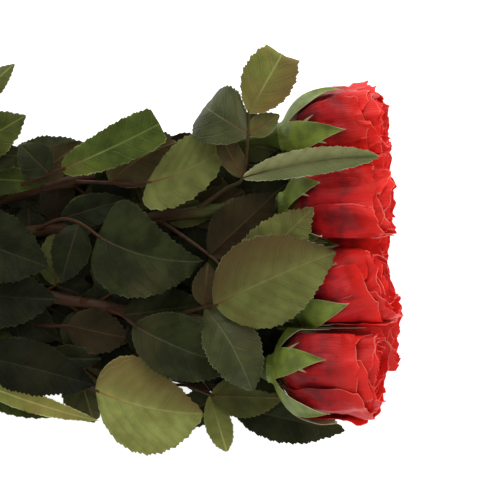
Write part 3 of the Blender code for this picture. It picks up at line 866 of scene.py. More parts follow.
ROSES = (
    Rose(
        "a", (3 * HALF, HIGH), (22, 38, 30), (141, 62.5, 55), (177, 67.5, 61), 20.5, 54, 10,
        (85, 148, 235, 305, 20), 37,
    ),
    Rose(
        "b", (HALF, HIGH), (22, 12, 31), (141, 24, 57), (180, 25, 62), 23, 57, 40,
        (118, 45, 190, 248, 335), 22,
    ),
    Rose(
        "c", (-HALF, HIGH), (22, -28, 36), (150, -33, 56), (184, -21, 62), 26, 49, 75,
        (130, 82, 25, 315, 200), 30,
    ),
    Rose(
        "d", (-3 * HALF, HIGH), (22, -50, 25), (135, -65, 54), (170.5, -64.5, 61), 27.5, 58, 20,
        (102, 40, 350, 290, 150), 34,
    ),
    Rose(
        "e", (2 * HALF, LOW), (22, 25, 14), (152, 44, 20), (189, 47, 24), 24, 47, 5,
        (10, 80, 320, 240, 160), 28,
    ),
    Rose(
        "f", (0.0, LOW), (22, -5, 13), (152, 2, 20), (191, 3, 24), 24, 46, 30,
        (30, 90, 164, 215, 325), 22,
    ),
    Rose(
        "g", (-2 * HALF, LOW), (22, -40, 14), (154, -43, 19.5), (192, -44, 23.5), 25, 50, 55,
        (160, 60, 200, 240, 0), 24,
    ),
)


@dataclass(frozen=True)
class Leaflet:
    """One leaflet of a compound leaf, from a petiole point to its tip.

    At is that point's number, from 1, with 0 on the stem's own line. The underside is turned up
    where under is true. Blush browns the half at u above 0, or the other half where it is
    negative; in the grey kind it is painted shade. Tone paints the leaflet lighter or darker, as
    painted light and shade for where it lies in the bunch. Shear slides the half at u above 0
    towards the base, and the tip rolls under from rolls_at of the length on. A plain leaflet lies
    low in the bunch and has a coarser grid.
    """

    at: int
    tip: tuple[float, float, float]
    width: float
    kind: Foliage
    under: bool = False
    bow: float = 2.0
    fold: float = 6.0
    roll: float = 0.0
    sway: float = 0.0
    tone: float = 0.0
    blush: float = 0.0
    widest: float = 0.43
    base_power: float = 0.72
    shear: float = 0.0
    rolls_at: float = 2.0
    plain: bool = False


@dataclass(frozen=True)
class Spray:
    """One compound leaf: it leaves the stem at a place along X and carries leaflets."""

    rose: str
    leaves_stem_at: float
    petiole: tuple[tuple[float, float, float], ...]
    leaflets: tuple[Leaflet, ...]

    def points(self, route: list[Vector]) -> list[Vector]:
        """List the petiole's points, from the one on the stem's line."""
        return [point_on(route, self.leaves_stem_at), *(Vector(point) for point in self.petiole)]


SPRAYS = (
    # Rose c: the big leaf over the heads, with the dark leaf that hangs before stem d.
    Spray("c", 78, ((97, -31, 60), (103, -30, 68)), (
        Leaflet(2, (167.7, -1.1, 91), 49, OLIVE, True, bow=5, fold=4, sway=1, blush=-1.0,
            tone=-0.1),
        Leaflet(1, (99, -7, 64), 15, BRONZE, True, tone=-0.5),
        Leaflet(1, (123, -76.5, 67), 30, BLUE, bow=9, fold=-8, sway=3, widest=0.5),
    )),
    Spray("c", 40, ((52, -36, 51), (58, -41, 55)), (
        Leaflet(2, (116, -64, 60), 36, DARK, bow=4, sway=-2, tone=-0.3),
        Leaflet(1, (98, -30, 42), 24, DARK, tone=-0.8),
    )),
    Spray("c", -84, ((-60, -19, 30), (-38, -25, 38)), (
        Leaflet(2, (15, -27, 48), 34, DARK, tone=-1.2),
    )),
    # Rose b: the veined leaves behind, the broad dark leaf, and the leaf that rises past head a.
    Spray("b", 70, ((100, -3, 58), (116, -18, 66)), (
        Leaflet(2, (156, 23, 84), 30, OLIVE, True, bow=3),
        Leaflet(1, (136, 31, 69), 30, BRONZE, True, fold=-4, tone=-1.2),
        Leaflet(1, (122, -24, 52), 18, DARK, bow=1),
    )),
    Spray("b", 0, ((17, 17, 43), (28, 15, 50), (38.5, 8, 54)), (
        Leaflet(3, (97, -6, 61), 50, DARK, bow=4, fold=5, sway=-4.5, tone=-0.1, widest=0.25,
            base_power=0.35, shear=-0.12),
        Leaflet(2, (18, -18, 45), 22, DARK, bow=5, fold=-10, tone=-1.0),
        Leaflet(1, (54, 28, 44), 18, DARK, tone=-1.0),
    )),
    Spray("b", -72, ((-54, 8, 34), (-42, 10, 43)), (
        Leaflet(2, (11, -9, 49), 40, DARK, bow=4, tone=-0.9),
        Leaflet(1, (-62, 34, 34), 24, DARK, bow=4),
    )),
    Spray("b", 90, ((110, 34, 61), (118, 39, 69), (121, 63, 73), (121.5, 74, 75)), (
        Leaflet(4, (143.4, 112.4, 84.3), 28.2, PALE, True, bow=3, fold=5, tone=-0.25,
            blush=1.0, widest=0.5, rolls_at=0.76),
        Leaflet(3, (96.5, 79.4, 61.6), 34, BLUE, bow=10, fold=-5, sway=1, widest=0.58,
            base_power=0.6, rolls_at=0.88),
        Leaflet(3, (138, 73, 74), 13, OLIVE, True, bow=1, tone=-0.8),
        Leaflet(2, (104, 66, 64), 13, BRONZE, True, bow=1),
        # Painted light: the grey skin is a painted sheen, lightened by its tone; its blush is
        # painted shade.
        Leaflet(2, (190.5, 50, 88), 25, PAINTED_SHEEN, fold=54, sway=2.5, tone=1.5, blush=1.0,
            widest=0.52, base_power=0.7),
    )),
    # Rose a: the leaves along the upper edge.
    Spray("a", 22, ((45, 37, 49), (57, 36, 54), (66, 37, 57)), (
        Leaflet(3, (107.7, 56, 61), 33, OLIVE, True, bow=3, sway=-3, tone=-0.1, shear=0.27,
            base_power=0.5),
        Leaflet(1, (82, 59, 51), 29, BRONZE, True, sway=3),
    )),
    Spray("a", -22, ((0, 38, 46), (12, 42, 55), (19, 44, 59)), (
        Leaflet(3, (72.8, 68.8, 64), 23, FRESH, bow=3, fold=5, sway=-1, tone=1.1, widest=0.75,
            base_power=0.4),
        Leaflet(2, (-4, 58, 56), 20, DARK, tone=-0.9),
        Leaflet(1, (30, 59.5, 46), 18, BRONZE, True, tone=-1.0),
    )),
    Spray("a", -66, ((-50, 40, 36), (-38, 52, 46)), (
        Leaflet(2, (-1, 74, 52), 25, FRESH, bow=3),
        Leaflet(2, (-1, 52, 48), 20, DARK, tone=-0.9),
        Leaflet(1, (12, 38, 42), 18, FRESH),
    )),
    # Rose d: the leaves along the lower edge.
    Spray("d", 50, ((75, -74, 38), (87, -75, 42), (100, -80, 44)), (
        Leaflet(3, (141, -82, 40), 24, OLIVE, True, tone=-0.8),
        Leaflet(3, (109, -112, 35), 15, PALE, True, bow=3, fold=-8, widest=0.5),
    )),
    Spray("d", -16, ((8, -60, 36), (28, -73, 47), (37, -77, 50)), (
        Leaflet(3, (96, -90, 49), 51, OLIVE, True, bow=4, fold=5, sway=-3, tone=1.3,
            blush=-0.8, widest=0.4, base_power=0.6, shear=-0.14),
        Leaflet(1, (40, -60, 43), 15, DARK, tone=-1.2),
    )),
    Spray("d", -10, ((7, -42, 34), (20, -42, 38)), (
        Leaflet(2, (56, -49, 42), 25, BRONZE, True, tone=-1.3),
    )),
    Spray("d", -62, ((-44, -42, 34), (-30, -58, 44)), (
        Leaflet(2, (38, -74, 56), 30, DARK, bow=3, sway=1, tone=-1.6),
        Leaflet(1, (-76, -70, 28), 22, DARK, bow=4),
    )),
    # Rose e: the lower leaves of the upper edge.
    Spray("e", 70, ((94, 52, 22), (104, 62, 25)), (
        Leaflet(2, (134, 70, 18), 24, DARK, bow=4, fold=-6, tone=-0.5),
        Leaflet(1, (112, 80, 16), 24, DARK, bow=3),
        Leaflet(1, (148, 44, 36), 30, DARK, bow=3, tone=-0.6),
    )),
    Spray("e", 10, ((34, 40, 20), (46, 47, 22)), (
        Leaflet(2, (90, 58, 24), 30, DARK, bow=4, fold=-6),
        Leaflet(1, (50, 60, 14), 22, DARK, bow=3),
    )),
    Spray("e", -48, ((-30, 32, 17), (-18, 42, 20)), (
        Leaflet(2, (30, 60, 17), 26, DARK, bow=5, fold=-6),
        Leaflet(1, (-18, 66, 12), 26, DARK, bow=3),
    )),
    Spray("e", -82, ((-66, 34, 14), (-48, 62, 22), (-38, 78, 28)), (
        Leaflet(3, (-9, 104, 32), 16, PALE, bow=4, fold=-5),
        Leaflet(2, (-72, 86, 18), 26, DARK, bow=4),
        Leaflet(2, (-14, 66, 30), 22, DARK, bow=3),
    )),
    # Rose f: the inner leaves between the two layers of stems.
    Spray("f", 72, ((94, 4, 24), (106, 6, 30)), (
        Leaflet(2, (150, 14, 40), 30, DARK),
        Leaflet(1, (104, 34, 34), 22, DARK),
        Leaflet(1, (118, -18, 26), 22, DARK),
    )),
    Spray("f", 14, ((36, -8, 20), (48, -8, 24)), (
        Leaflet(2, (94, -12, 30), 32, DARK),
        Leaflet(1, (60, 14, 24), 24, DARK),
    )),
    Spray("f", -52, ((-34, -8, 14), (-24, -10, 17)), (
        Leaflet(2, (22, -18, 19), 26, DARK, fold=4),
        Leaflet(1, (-10, 10, 13), 18, DARK, bow=1),
    )),
    # Low leaves that close the gaps between the hips, painted dark as painted shade.
    Spray("e", 96, ((118, 46, 14), (128, 44, 9)), (
        Leaflet(2, (157, 34, 6), 26, DARK, bow=1, tone=-1.2, plain=True),
        Leaflet(2, (148, 62, 8), 24, DARK, bow=1, tone=-1.2, plain=True),
    )),
    Spray("g", 96, ((120, -50, 14), (130, -50, 9)), (
        Leaflet(2, (163, -45, 6), 28, DARK, bow=1, tone=-1.2, plain=True),
        Leaflet(2, (156, -68, 8), 26, DARK, bow=1, tone=-1.2, plain=True),
    )),
    Spray("g", 44, ((64, -68, 16), (84, -75, 13)), (
        Leaflet(2, (112, -74, 12), 12, BRONZE, True, bow=1, tone=-0.6, plain=True),
        Leaflet(1, (38, -69, 10), 15, DARK, bow=1, tone=-0.8, plain=True),
    )),
    # Rose g: the lower leaves of the lower edge.
    Spray("g", 66, ((88, -64, 22), (104, -82, 28), (112, -87, 31)), (
        Leaflet(3, (175, -101, 27), 27, DARK, bow=3, roll=8, tone=-0.6),
        Leaflet(2, (80, -96, 20), 20, DARK, bow=3),
        Leaflet(1, (152, -52, 36), 32, DARK, tone=-0.6),
    )),
    Spray("g", 4, ((24, -62, 20), (38, -74, 22)), (
        Leaflet(2, (82, -96, 30), 30, DARK, bow=4, fold=-5),
        Leaflet(1, (34, -98, 12), 26, OLIVE, bow=3),
        Leaflet(1, (64, -53, 22), 22, DARK),
    )),
    Spray("g", -70, ((-50, -44, 15), (-38, -70, 27)), (
        Leaflet(2, (12, -93, 36), 19, FRESH, bow=3, fold=5),
        Leaflet(2, (38, -95, 35), 12, PALE, True, bow=8, sway=-1.5, tone=1.6),
        Leaflet(1, (-60, -74, 14), 26, DARK, bow=3),
        Leaflet(1, (-2, -58, 19), 22, DARK),
    )),
)


@dataclass(frozen=True)
class Undergrowth:
    """The plain leaves low in the bunch, laid round each stem by a seeded rule.

    They are compound leaves of three leaflets. One that would stick out of the bunch, lie in the
    table or close one of the clear spots between the leaves above is left out.
    """

    seed: int = 113
    first_x: float = -92.0
    last_x: float = 128.0
    pitch: float = 15.0
    widest_y: tuple[float, float] = (-86.0, 56.0)
    furthest_x: float = 156.0
    floor: float = 4.0
    ceiling: float = 42.0
    near_x: float = 10.0
    far_x: float = 23.0
    side_swing: float = 0.95
    clearance: float = 0.42
    clear_spots: tuple[tuple[float, float], ...] = (
        (82.4, -68.8), (93.4, -83.6), (103.9, 44.0), (117.0, 45.7),
    )

    def fits(self, base: Vector, tip: Vector, width: float) -> bool:
        """Say whether a leaflet stays inside the bunch and off the clear spots.

        Args:
            base: Where it starts.
            tip: Where it ends.
            width: How wide it is.

        Returns:
            True where it does.
        """
        low, high = self.widest_y
        if not (low < tip.y < high and tip.z > self.floor and tip.x < self.furthest_x):
            return False
        for x, y in self.clear_spots:
            spot = Vector((x, y, 0.0))
            along = tip - base
            along.z = 0.0
            start = Vector((base.x, base.y, 0.0))
            share = min(1.0, max(0.0, (spot - start).dot(along) / along.length_squared))
            if (spot - start - along * share).length < self.clearance * width:
                return False
        return True

    def sprays(self, rose: Rose) -> list[Spray]:
        """Lay this rose's plain compound leaves.

        Args:
            rose: The rose.

        Returns:
            The compound leaves.
        """
        draw = random.Random(self.seed + rose.number())
        route = rose.route()
        kinds = (DARK, DARK, OLIVE, DARK, BRONZE)
        side = 1 if rose.number() % 2 else -1
        found = []
        x = self.first_x + draw.uniform(0, self.pitch)
        while x < self.last_x:
            foot = point_on(route, x)
            yaw = side * radians(draw.uniform(14, 50))
            drop = -0.14 if foot.z > self.ceiling else draw.uniform(-0.1, 0.14)
            ahead = Vector((cos(yaw), sin(yaw), drop))
            near, far = foot + ahead * self.near_x, foot + ahead * self.far_x
            leaflets = []
            for at, base, swing, length in (
                (2, far, 0.0, draw.uniform(34, 44)),
                (1, near, self.side_swing, draw.uniform(26, 34)),
                (1, near, -self.side_swing, draw.uniform(26, 34)),
            ):
                turn = yaw + swing
                sink = drop + draw.uniform(-0.12, 0.08)
                tip = base + Vector((cos(turn), sin(turn), sink)) * length
                width = length * draw.uniform(0.6, 0.7)
                if self.fits(base, tip, width):
                    bend = draw.uniform(1.0, 4.0)
                    # Painted shade: these low leaflets are painted darker, as they lie deep in the
                    # bunch.
                    tone = draw.uniform(-1.7, -0.9)
                    kind = draw.choice(kinds)
                    laid = Leaflet(
                        at, tuple(tip), width, kind, kind != DARK, bend, tone=tone, plain=True
                    )
                    leaflets.append(laid)
            if leaflets:
                points = (tuple(near), tuple(far))[: leaflets[0].at]
                found.append(Spray(rose.name, x, points, tuple(leaflets)))
            side = -side
            x += self.pitch * draw.uniform(0.8, 1.2)
        return found


def sprays_of(rose: Rose) -> list[Spray]:
    """List the compound leaves of a rose, those laid one by one first."""
    return [spray for spray in SPRAYS if spray.rose == rose.name] + Undergrowth().sprays(rose)


# Thorns: the rose, the place along X and the turn round the stem in degrees.
THORNS = (
    ("a", -82, 60), ("b", -86, 90), ("c", 30, 110), ("d", -84, 120), ("d", 80, 270),
    ("e", -72, 20), ("e", 50, 330), ("f", 60, 270), ("g", 52, 200),
)


@dataclass
class Leaves:
    """The leaflets of one rose: serrated blades that are quilted between their veins.

    Lengths are in millimetres. The teeth begin at teeth_from of the half width, a leaflet as wide
    as full_width has the full waves, quilt and midrib, and most_rolled is in radians.
    """

    rose: Rose
    thickness: float = 0.36
    columns: int = 12
    plain_columns: int = 8
    rows_per_tooth: int = 3
    plain_rows_per_tooth: int = 2
    tooth_pitch: float = 2.5
    tooth_depth: float = 1.45
    teeth_from: float = 0.7
    fewest_teeth: int = 8
    full_width: float = 30.0
    wave: float = 4.18
    wave_length: float = 16.0
    quilt: float = 0.5
    midrib_height: float = 0.5
    midrib_half_width: float = 1.2
    groove: float = -0.3
    roll_radius: float = 2.4
    most_rolled: float = 2.7
    seeds: tuple[float, float] = (7.3, 1.7)
    sharp: float = 50.0

    def half_width(self, leaflet: Leaflet, v: float) -> float:
        """Say how wide the blade is at one place.

        Args:
            leaflet: The leaflet.
            v: The place, from 0 at the base to 1 at the tip.

        Returns:
            The width there as a share of the widest.
        """
        if not 0 < v < 1:
            return 0.0
        widest = leaflet.widest
        tip_power = leaflet.base_power * (1 - widest) / widest
        return (v / widest) ** leaflet.base_power * ((1 - v) / (1 - widest)) ** tip_power

    def surface(
        self, leaflet: Leaflet, base: Vector, teeth: int, seed: float
    ) -> Callable[[float, float], BladePoint]:
        """Make the function that shapes one leaflet.

        Args:
            leaflet: The leaflet.
            base: Where it leaves the petiole.
            teeth: How many teeth each side has.
            seed: Sets this leaflet's own waves apart from the others'.

        Returns:
            The function from u and v to the blade's point.
        """
        tip = Vector(leaflet.tip)
        chord = tip - base
        side, up = ring_frame(chord.normalized())
        turn = radians(leaflet.roll)
        normal = up * cos(turn) + side * sin(turn)
        across = side * cos(turn) - up * sin(turn)
        middle = (base + tip) / 2 + normal * (2 * leaflet.bow) - across * (2 * leaflet.sway)
        fold = radians(leaflet.fold)
        length = chord.length
        small = min(1.0, leaflet.width / self.full_width)
        skin_up = -1.0 if leaflet.under else 1.0

        def surface(u: float, v: float) -> BladePoint:
            """Shape one point of the leaflet."""
            u = abs(u) ** 1.35 * (1 if u > 0 else -1)
            slid = v - leaflet.shear * u * 2.2 * v**0.5 * (1 - v)
            point, along = bezier(base, middle, tip, min(slid, leaflet.rolls_at))
            side_here = along.cross(normal).normalized()
            normal_here = side_here.cross(along).normalized()
            if slid > leaflet.rolls_at:
                past = (slid - leaflet.rolls_at) * length
                bent = min(self.most_rolled, past / self.roll_radius)
                rolled = along * sin(bent) - normal_here * (1 - cos(bent))
                point = point + rolled * self.roll_radius
                along, normal_here = (
                    along * cos(bent) - normal_here * sin(bent),
                    normal_here * cos(bent) + along * sin(bent),
                )
                point = point + along * (past - bent * self.roll_radius)
            half = leaflet.width / 2 * self.half_width(leaflet, v)
            edge = max(0.0, abs(u) - self.teeth_from) / (1 - self.teeth_from)
            phase = (v * teeth) % 1.0
            tooth = (phase - 0.35) * self.tooth_depth * small * edge * min(1.0, half / 4)
            x = u * half + (tooth if u > 0 else -tooth)
            y = v * length + edge * phase * 0.5
            point = point + along * (edge * phase * 0.5) * (0 < v < 1)
            wave_at = Vector((seed, v * length / self.wave_length, 3.0 * (u > 0)))
            rise = noise.noise(wave_at) * self.wave * small * u * u
            vein = (y - VEIN_SLANT * abs(x) - VEIN_BEND * x * x) / VEIN_PITCH
            swell = (0.5 - 0.5 * cos(2 * pi * vein)) * min(1.0, abs(x) / 3) * (1 - abs(u) ** 3)
            rise += skin_up * self.quilt * small * swell
            point = point + side_here * (x * cos(fold)) + normal_here * (abs(x) * sin(fold) + rise)
            near_rib = max(0.0, 1 - abs(x) / self.midrib_half_width)
            rib = self.midrib_height * (1 - 0.75 * v) * small * near_rib
            above = self.thickness / 2 + rib * (1 if leaflet.under else self.groove)
            below = self.thickness / 2 + rib * (self.groove if leaflet.under else 1)
            brown = max(0.0, leaflet.blush * u) ** 0.5
            return BladePoint(
                point + normal_here * above,
                point - normal_here * below,
                Vector((x, y, (1 - abs(u)) * half)),
                Vector((leaflet.tone, min(1.0, brown), 0.0)),
            )

        return surface

    def build(self) -> bpy.types.Object:
        """Build and dress the leaves of this rose.

        Returns:
            The piece.
        """
        builder = MeshBuilder(f"leaves_{self.rose.name}")
        route = self.rose.route()
        kinds = list(Foliage)
        first_seed, seed_step = self.seeds
        seed = first_seed * self.rose.number()
        for spray in sprays_of(self.rose):
            points = spray.points(route)
            for leaflet in spray.leaflets:
                base = points[leaflet.at]
                length = (Vector(leaflet.tip) - base).length
                teeth = max(self.fewest_teeth, round(length / self.tooth_pitch))
                upper = 2 * kinds.index(leaflet.kind)
                sides = (upper + 1, upper) if leaflet.under else (upper, upper + 1)
                surface = self.surface(leaflet, base, teeth, seed)
                columns, per_tooth = self.columns, self.rows_per_tooth
                if leaflet.plain:
                    columns, per_tooth = self.plain_columns, self.plain_rows_per_tooth
                builder.blade(columns, teeth * per_tooth, surface, sides)
                seed += seed_step
        materials = []
        for kind in kinds:
            materials += [UPPER_SIDES[kind].material(), UNDERSIDES[kind].material()]
        return builder.finish(materials, self.sharp)


# The numbers of a stem's materials.
RIND, PETIOLE, THORN, PITH = range(4)


@dataclass
class Stem:
    """One stem: a smooth rod with its hip, thorns and the petioles of its leaves."""

    rose: Rose
    sides: int = 14
    radius: float = STEM_RADIUS
    node_swell: float = 0.7
    node_reach: float = 4.0
    petiole_radius: float = 0.95
    petiole_sides: int = 8
    thorn_length: float = 6.0
    thorn_half_foot: tuple[float, float] = (3.4, 1.5)
    thorn_lean: float = 2.2
    thorn_sides: int = 10
    sharp: float = 55.0

    def rod(self, builder: MeshBuilder) -> None:
        """Add the rod and the hip, in one tube.

        Args:
            builder: The mesh that takes them.
        """
        route = self.rose.route()
        last = len(route) - 1
        joints = [spray.leaves_stem_at for spray in sprays_of(self.rose)]
        radii = []
        for index, point in enumerate(route):
            swell = max(exp(-(((point.x - x) / self.node_reach) ** 2)) for x in joints)
            uneven = self.node_swell * swell + 0.12 * noise.noise(point / 9)
            radii.append(self.radius + (NECK_RADIUS - self.radius) * index / last + uneven)
        axis = self.rose.axis()
        neck = self.rose.neck()
        for share in (0.12, 0.25, 0.4, 0.55, 0.7, 0.85, 0.95, 1.0):
            route.append(neck + axis * (HIP_LENGTH * share))
            radii.append(NECK_RADIUS + (HIP_RIM_RADIUS - NECK_RADIUS) * ease(share, -0.1, 0.95))
        builder.tube(rings_along(route, radii), self.sides, RIND, cap=PITH)

    def thorn(self, builder: MeshBuilder, x: float, turn: float) -> None:
        """Add a thorn: broad at the foot along the stem, bent back and sharp.

        Args:
            builder: The mesh that takes it.
            x: The thorn's place along X.
            turn: Its turn round the stem, in degrees.
        """
        centre = point_on(self.rose.route(), x)
        side, up = ring_frame(FORWARD)
        out = side * cos(radians(turn)) + up * sin(radians(turn))
        across = FORWARD.cross(out)
        half_length, half_width = self.thorn_half_foot
        rings = []
        for step in range(8):
            t = step / 7
            place = centre + out * (self.radius - 1.0 + self.thorn_length * t)
            place -= FORWARD * (self.thorn_lean * t**1.6)
            along = FORWARD * (half_length * (1 - t) ** 1.5 + 0.12)
            rings.append(Ring(place, along, across * (half_width * (1 - t) ** 1.2 + 0.1)))
        builder.tube(rings, self.thorn_sides, THORN)

    def petioles(self, builder: MeshBuilder) -> None:
        """Add the petiole of each compound leaf, thick at its foot.

        Args:
            builder: The mesh that takes them.
        """
        route = self.rose.route()
        for spray in sprays_of(self.rose):
            knots = spray.points(route)
            knots.append(knots[-1] + (knots[-1] - knots[-2]).normalized() * 2.5)
            line = smooth_route(knots, (6,) * (len(knots) - 1))
            shares = [index / (len(line) - 1) for index in range(len(line))]
            radii = [self.petiole_radius * (1.15 - 0.35 * t + exp(-t / 0.08)) for t in shares]
            builder.tube(rings_along(line, radii), self.petiole_sides, PETIOLE)

    def build(self) -> bpy.types.Object:
        """Build and dress the stem.

        Returns:
            The piece.
        """
        builder = MeshBuilder(f"stem_{self.rose.name}")
        self.rod(builder)
        for name, x, turn in THORNS:
            if name == self.rose.name:
                self.thorn(builder, x, turn)
        self.petioles(builder)
        finishes = (STEM_RIND, PETIOLE_RIND, THORN_SKIN, PithFinish())
        return builder.finish([finish.material() for finish in finishes], self.sharp)


def pressed(
    point: Vector, planes: list[tuple[Vector, Vector]], margin: float, floor: float
) -> Vector:
    """Keep a point on its own side of the planes between heads, and above the surface.

    Args:
        point: The point.
        planes: A point and a direction away from this head for each plane.
        margin: How far from the planes it stays.
        floor: How low it may lie.

    Returns:
        The point, moved back where it was past a limit.
    """
    for middle, away in planes:
        past = (point - middle).dot(away) + margin
        if past > 0:
            point = point - away * past
    return Vector((point.x, point.y, max(point.z, floor)))


@dataclass(frozen=True)
class PetalLayer:
    """A ring of petals. Share, root and tip are shares of the bloom's radius and length."""

    count: int
    half_angle: float
    share: float
    root: float
    tip: float
    curl: float
    margin: float
    turn: float


PETAL_LAYERS = (
    PetalLayer(5, 50, 1.00, 0.03, 0.88, 2.4, 1.5, 0),
    PetalLayer(5, 50, 0.91, 0.05, 0.96, 1.6, 2.6, 36),
    PetalLayer(5, 52, 0.81, 0.08, 0.99, 0.8, 3.8, 10),
    PetalLayer(5, 54, 0.70, 0.10, 0.98, 0.8, 5.0, 47),
    PetalLayer(5, 58, 0.58, 0.14, 0.97, 0.7, 6.2, 20),
    PetalLayer(4, 66, 0.45, 0.20, 0.96, 0.6, 7.4, 5),
    PetalLayer(3, 80, 0.32, 0.26, 0.94, 0.5, 8.6, 50),
    PetalLayer(2, 108, 0.19, 0.30, 0.91, 0.3, 9.8, 0),
)


@dataclass
class Bloom:
    """One rose head: over thirty petals in rings, folded in facets, with ragged level tops."""

    rose: Rose
    thickness: float = 0.38
    columns: int = 20
    inner_columns: int = 14
    rows: int = 18
    outer_from: float = 0.75
    foot_share: float = 0.42
    tuck: float = 0.07
    facet: float = 1.7
    crease: float = 1.4
    crumple: float = 0.85
    ripple: float = 0.9
    seeds: tuple[float, float] = (11.9, 2.3)
    sharp: float = 50.0

    def surface(
        self, layer: PetalLayer, turn: float, tip: float, seed: float
    ) -> Callable[[float, float], BladePoint]:
        """Make the function that shapes one petal.

        Args:
            layer: The petal's ring.
            turn: Its turn round the bloom, in degrees.
            tip: Where its tip ends, as a share of the bloom's length.
            seed: Sets this petal's creases apart from the others'.

        Returns:
            The function from u and v to the petal's point.
        """
        rose = self.rose
        axis = rose.axis()
        side, up = ring_frame(axis)
        hip = Vector(rose.hip)
        planes = rose.planes()
        outer = layer.share > 0.85
        pale = 0.6 if outer and noise.noise(Vector((seed, 2.0, 0.0))) > 0.25 else 0.0
        own = noise.noise(Vector((seed, 0.0, 9.0)))
        lean = 0.5 * noise.noise(Vector((seed, 5.0, 1.0)))
        whole = Vector((rose.turn, 0.0, 0.0))

        def surface(u: float, v: float) -> BladePoint:
            """Shape one point of the petal."""
            jag = 1 - 3 * abs(noise.noise(Vector((u * 2.3, seed, 0.0))))
            corner = max(0.0, 1 - abs(u - lean) / 0.4)
            shoulder = max(0.0, abs(u) - 0.7) / 0.3
            top = tip + (0.02 * jag + 0.045 * corner - 0.05 * shoulder) * ease(v, 0.4, 1.0)
            s = layer.root + (top - layer.root) * v
            spread = 0.55 + 0.45 * min(1.0, 2.6 * v) - 0.1 * ease(v, 0.75, 1.0)
            angle = radians(turn + layer.half_angle * u * spread)
            share = layer.share + min(0.0, self.foot_share - layer.share) * (1 - v) ** 5
            fold_at = Vector((cos(angle) * 1.5, sin(angle) * 1.5, s * 1.6))
            folds = 1 - 3.4 * abs(noise.noise(whole + fold_at))
            crease = 1 - 3 * abs(noise.noise(Vector((u * 1.6 + seed, v * 1.1, seed))))
            crumple = 1 - 3 * abs(noise.noise(Vector((u * 4.2 + seed, v * 3.6, 2.0))))
            ripple_at = (cos(angle) * 1.2 + seed, sin(angle) * 1.2, s * rose.length / 5.5)
            ripple = 1 - 3 * abs(noise.noise(Vector(ripple_at)))
            lift = self.facet * folds + self.crease * crease
            lift += self.crumple * crumple * ease(v, 0.2, 0.7)
            lift += self.ripple * ripple * ease(s, 0.5, 0.75)
            lift *= ease(v, 0.04, 0.35) * (0.35 + 0.65 * share)
            roll = layer.curl * ease(v, 0.78, 1.0) * (0.3 + 0.7 * abs(u))
            out = side * cos(angle) + up * sin(angle)
            radius = max(0.6, rose.bloom_radius(s) * (share + self.tuck * u) + roll + lift)
            inside = 0.9 * (1 - u) + 0.5 * (2.2 - folds)
            points = []
            for depth in (0.0, self.thickness):
                point = hip + axis * (s * rose.length) + out * max(0.3, radius - depth)
                points.append(
                    pressed(point, planes, layer.margin + inside + depth, inside + depth)
                )
            fade = pale * ease(0.62 - abs(v - 0.35), 0.3, 0.6) * ease(0.9 - abs(u), 0.0, 0.5)
            half = radians(layer.half_angle) * spread * radius
            edge = min((1 - abs(u)) * half, (1 - v) * (top - layer.root) * rose.length)
            edge += 0.0 if layer.share > self.outer_from else 0.4
            place = Vector((u * layer.half_angle * 0.4, s * rose.length, v))
            return BladePoint(points[0], points[1], place, Vector((own, fade, edge)))

        return surface

    def build(self) -> bpy.types.Object:
        """Build and dress the bloom.

        Returns:
            The piece.
        """
        builder = MeshBuilder(f"bloom_{self.rose.name}")
        first_seed, seed_step = self.seeds
        seed = first_seed * self.rose.number()
        for number, layer in enumerate(PETAL_LAYERS):
            for index in range(layer.count):
                turn = self.rose.turn + layer.turn + index * 360 / layer.count
                tip = layer.tip + 0.035 * sin(radians(turn * 3 + 40 * number))
                surface = self.surface(layer, turn, tip, seed)
                columns = self.columns if layer.share > self.outer_from else self.inner_columns
                builder.blade(columns, self.rows, surface, (0, 0))
                seed += seed_step
        return builder.finish([PetalFinish().material()], self.sharp)


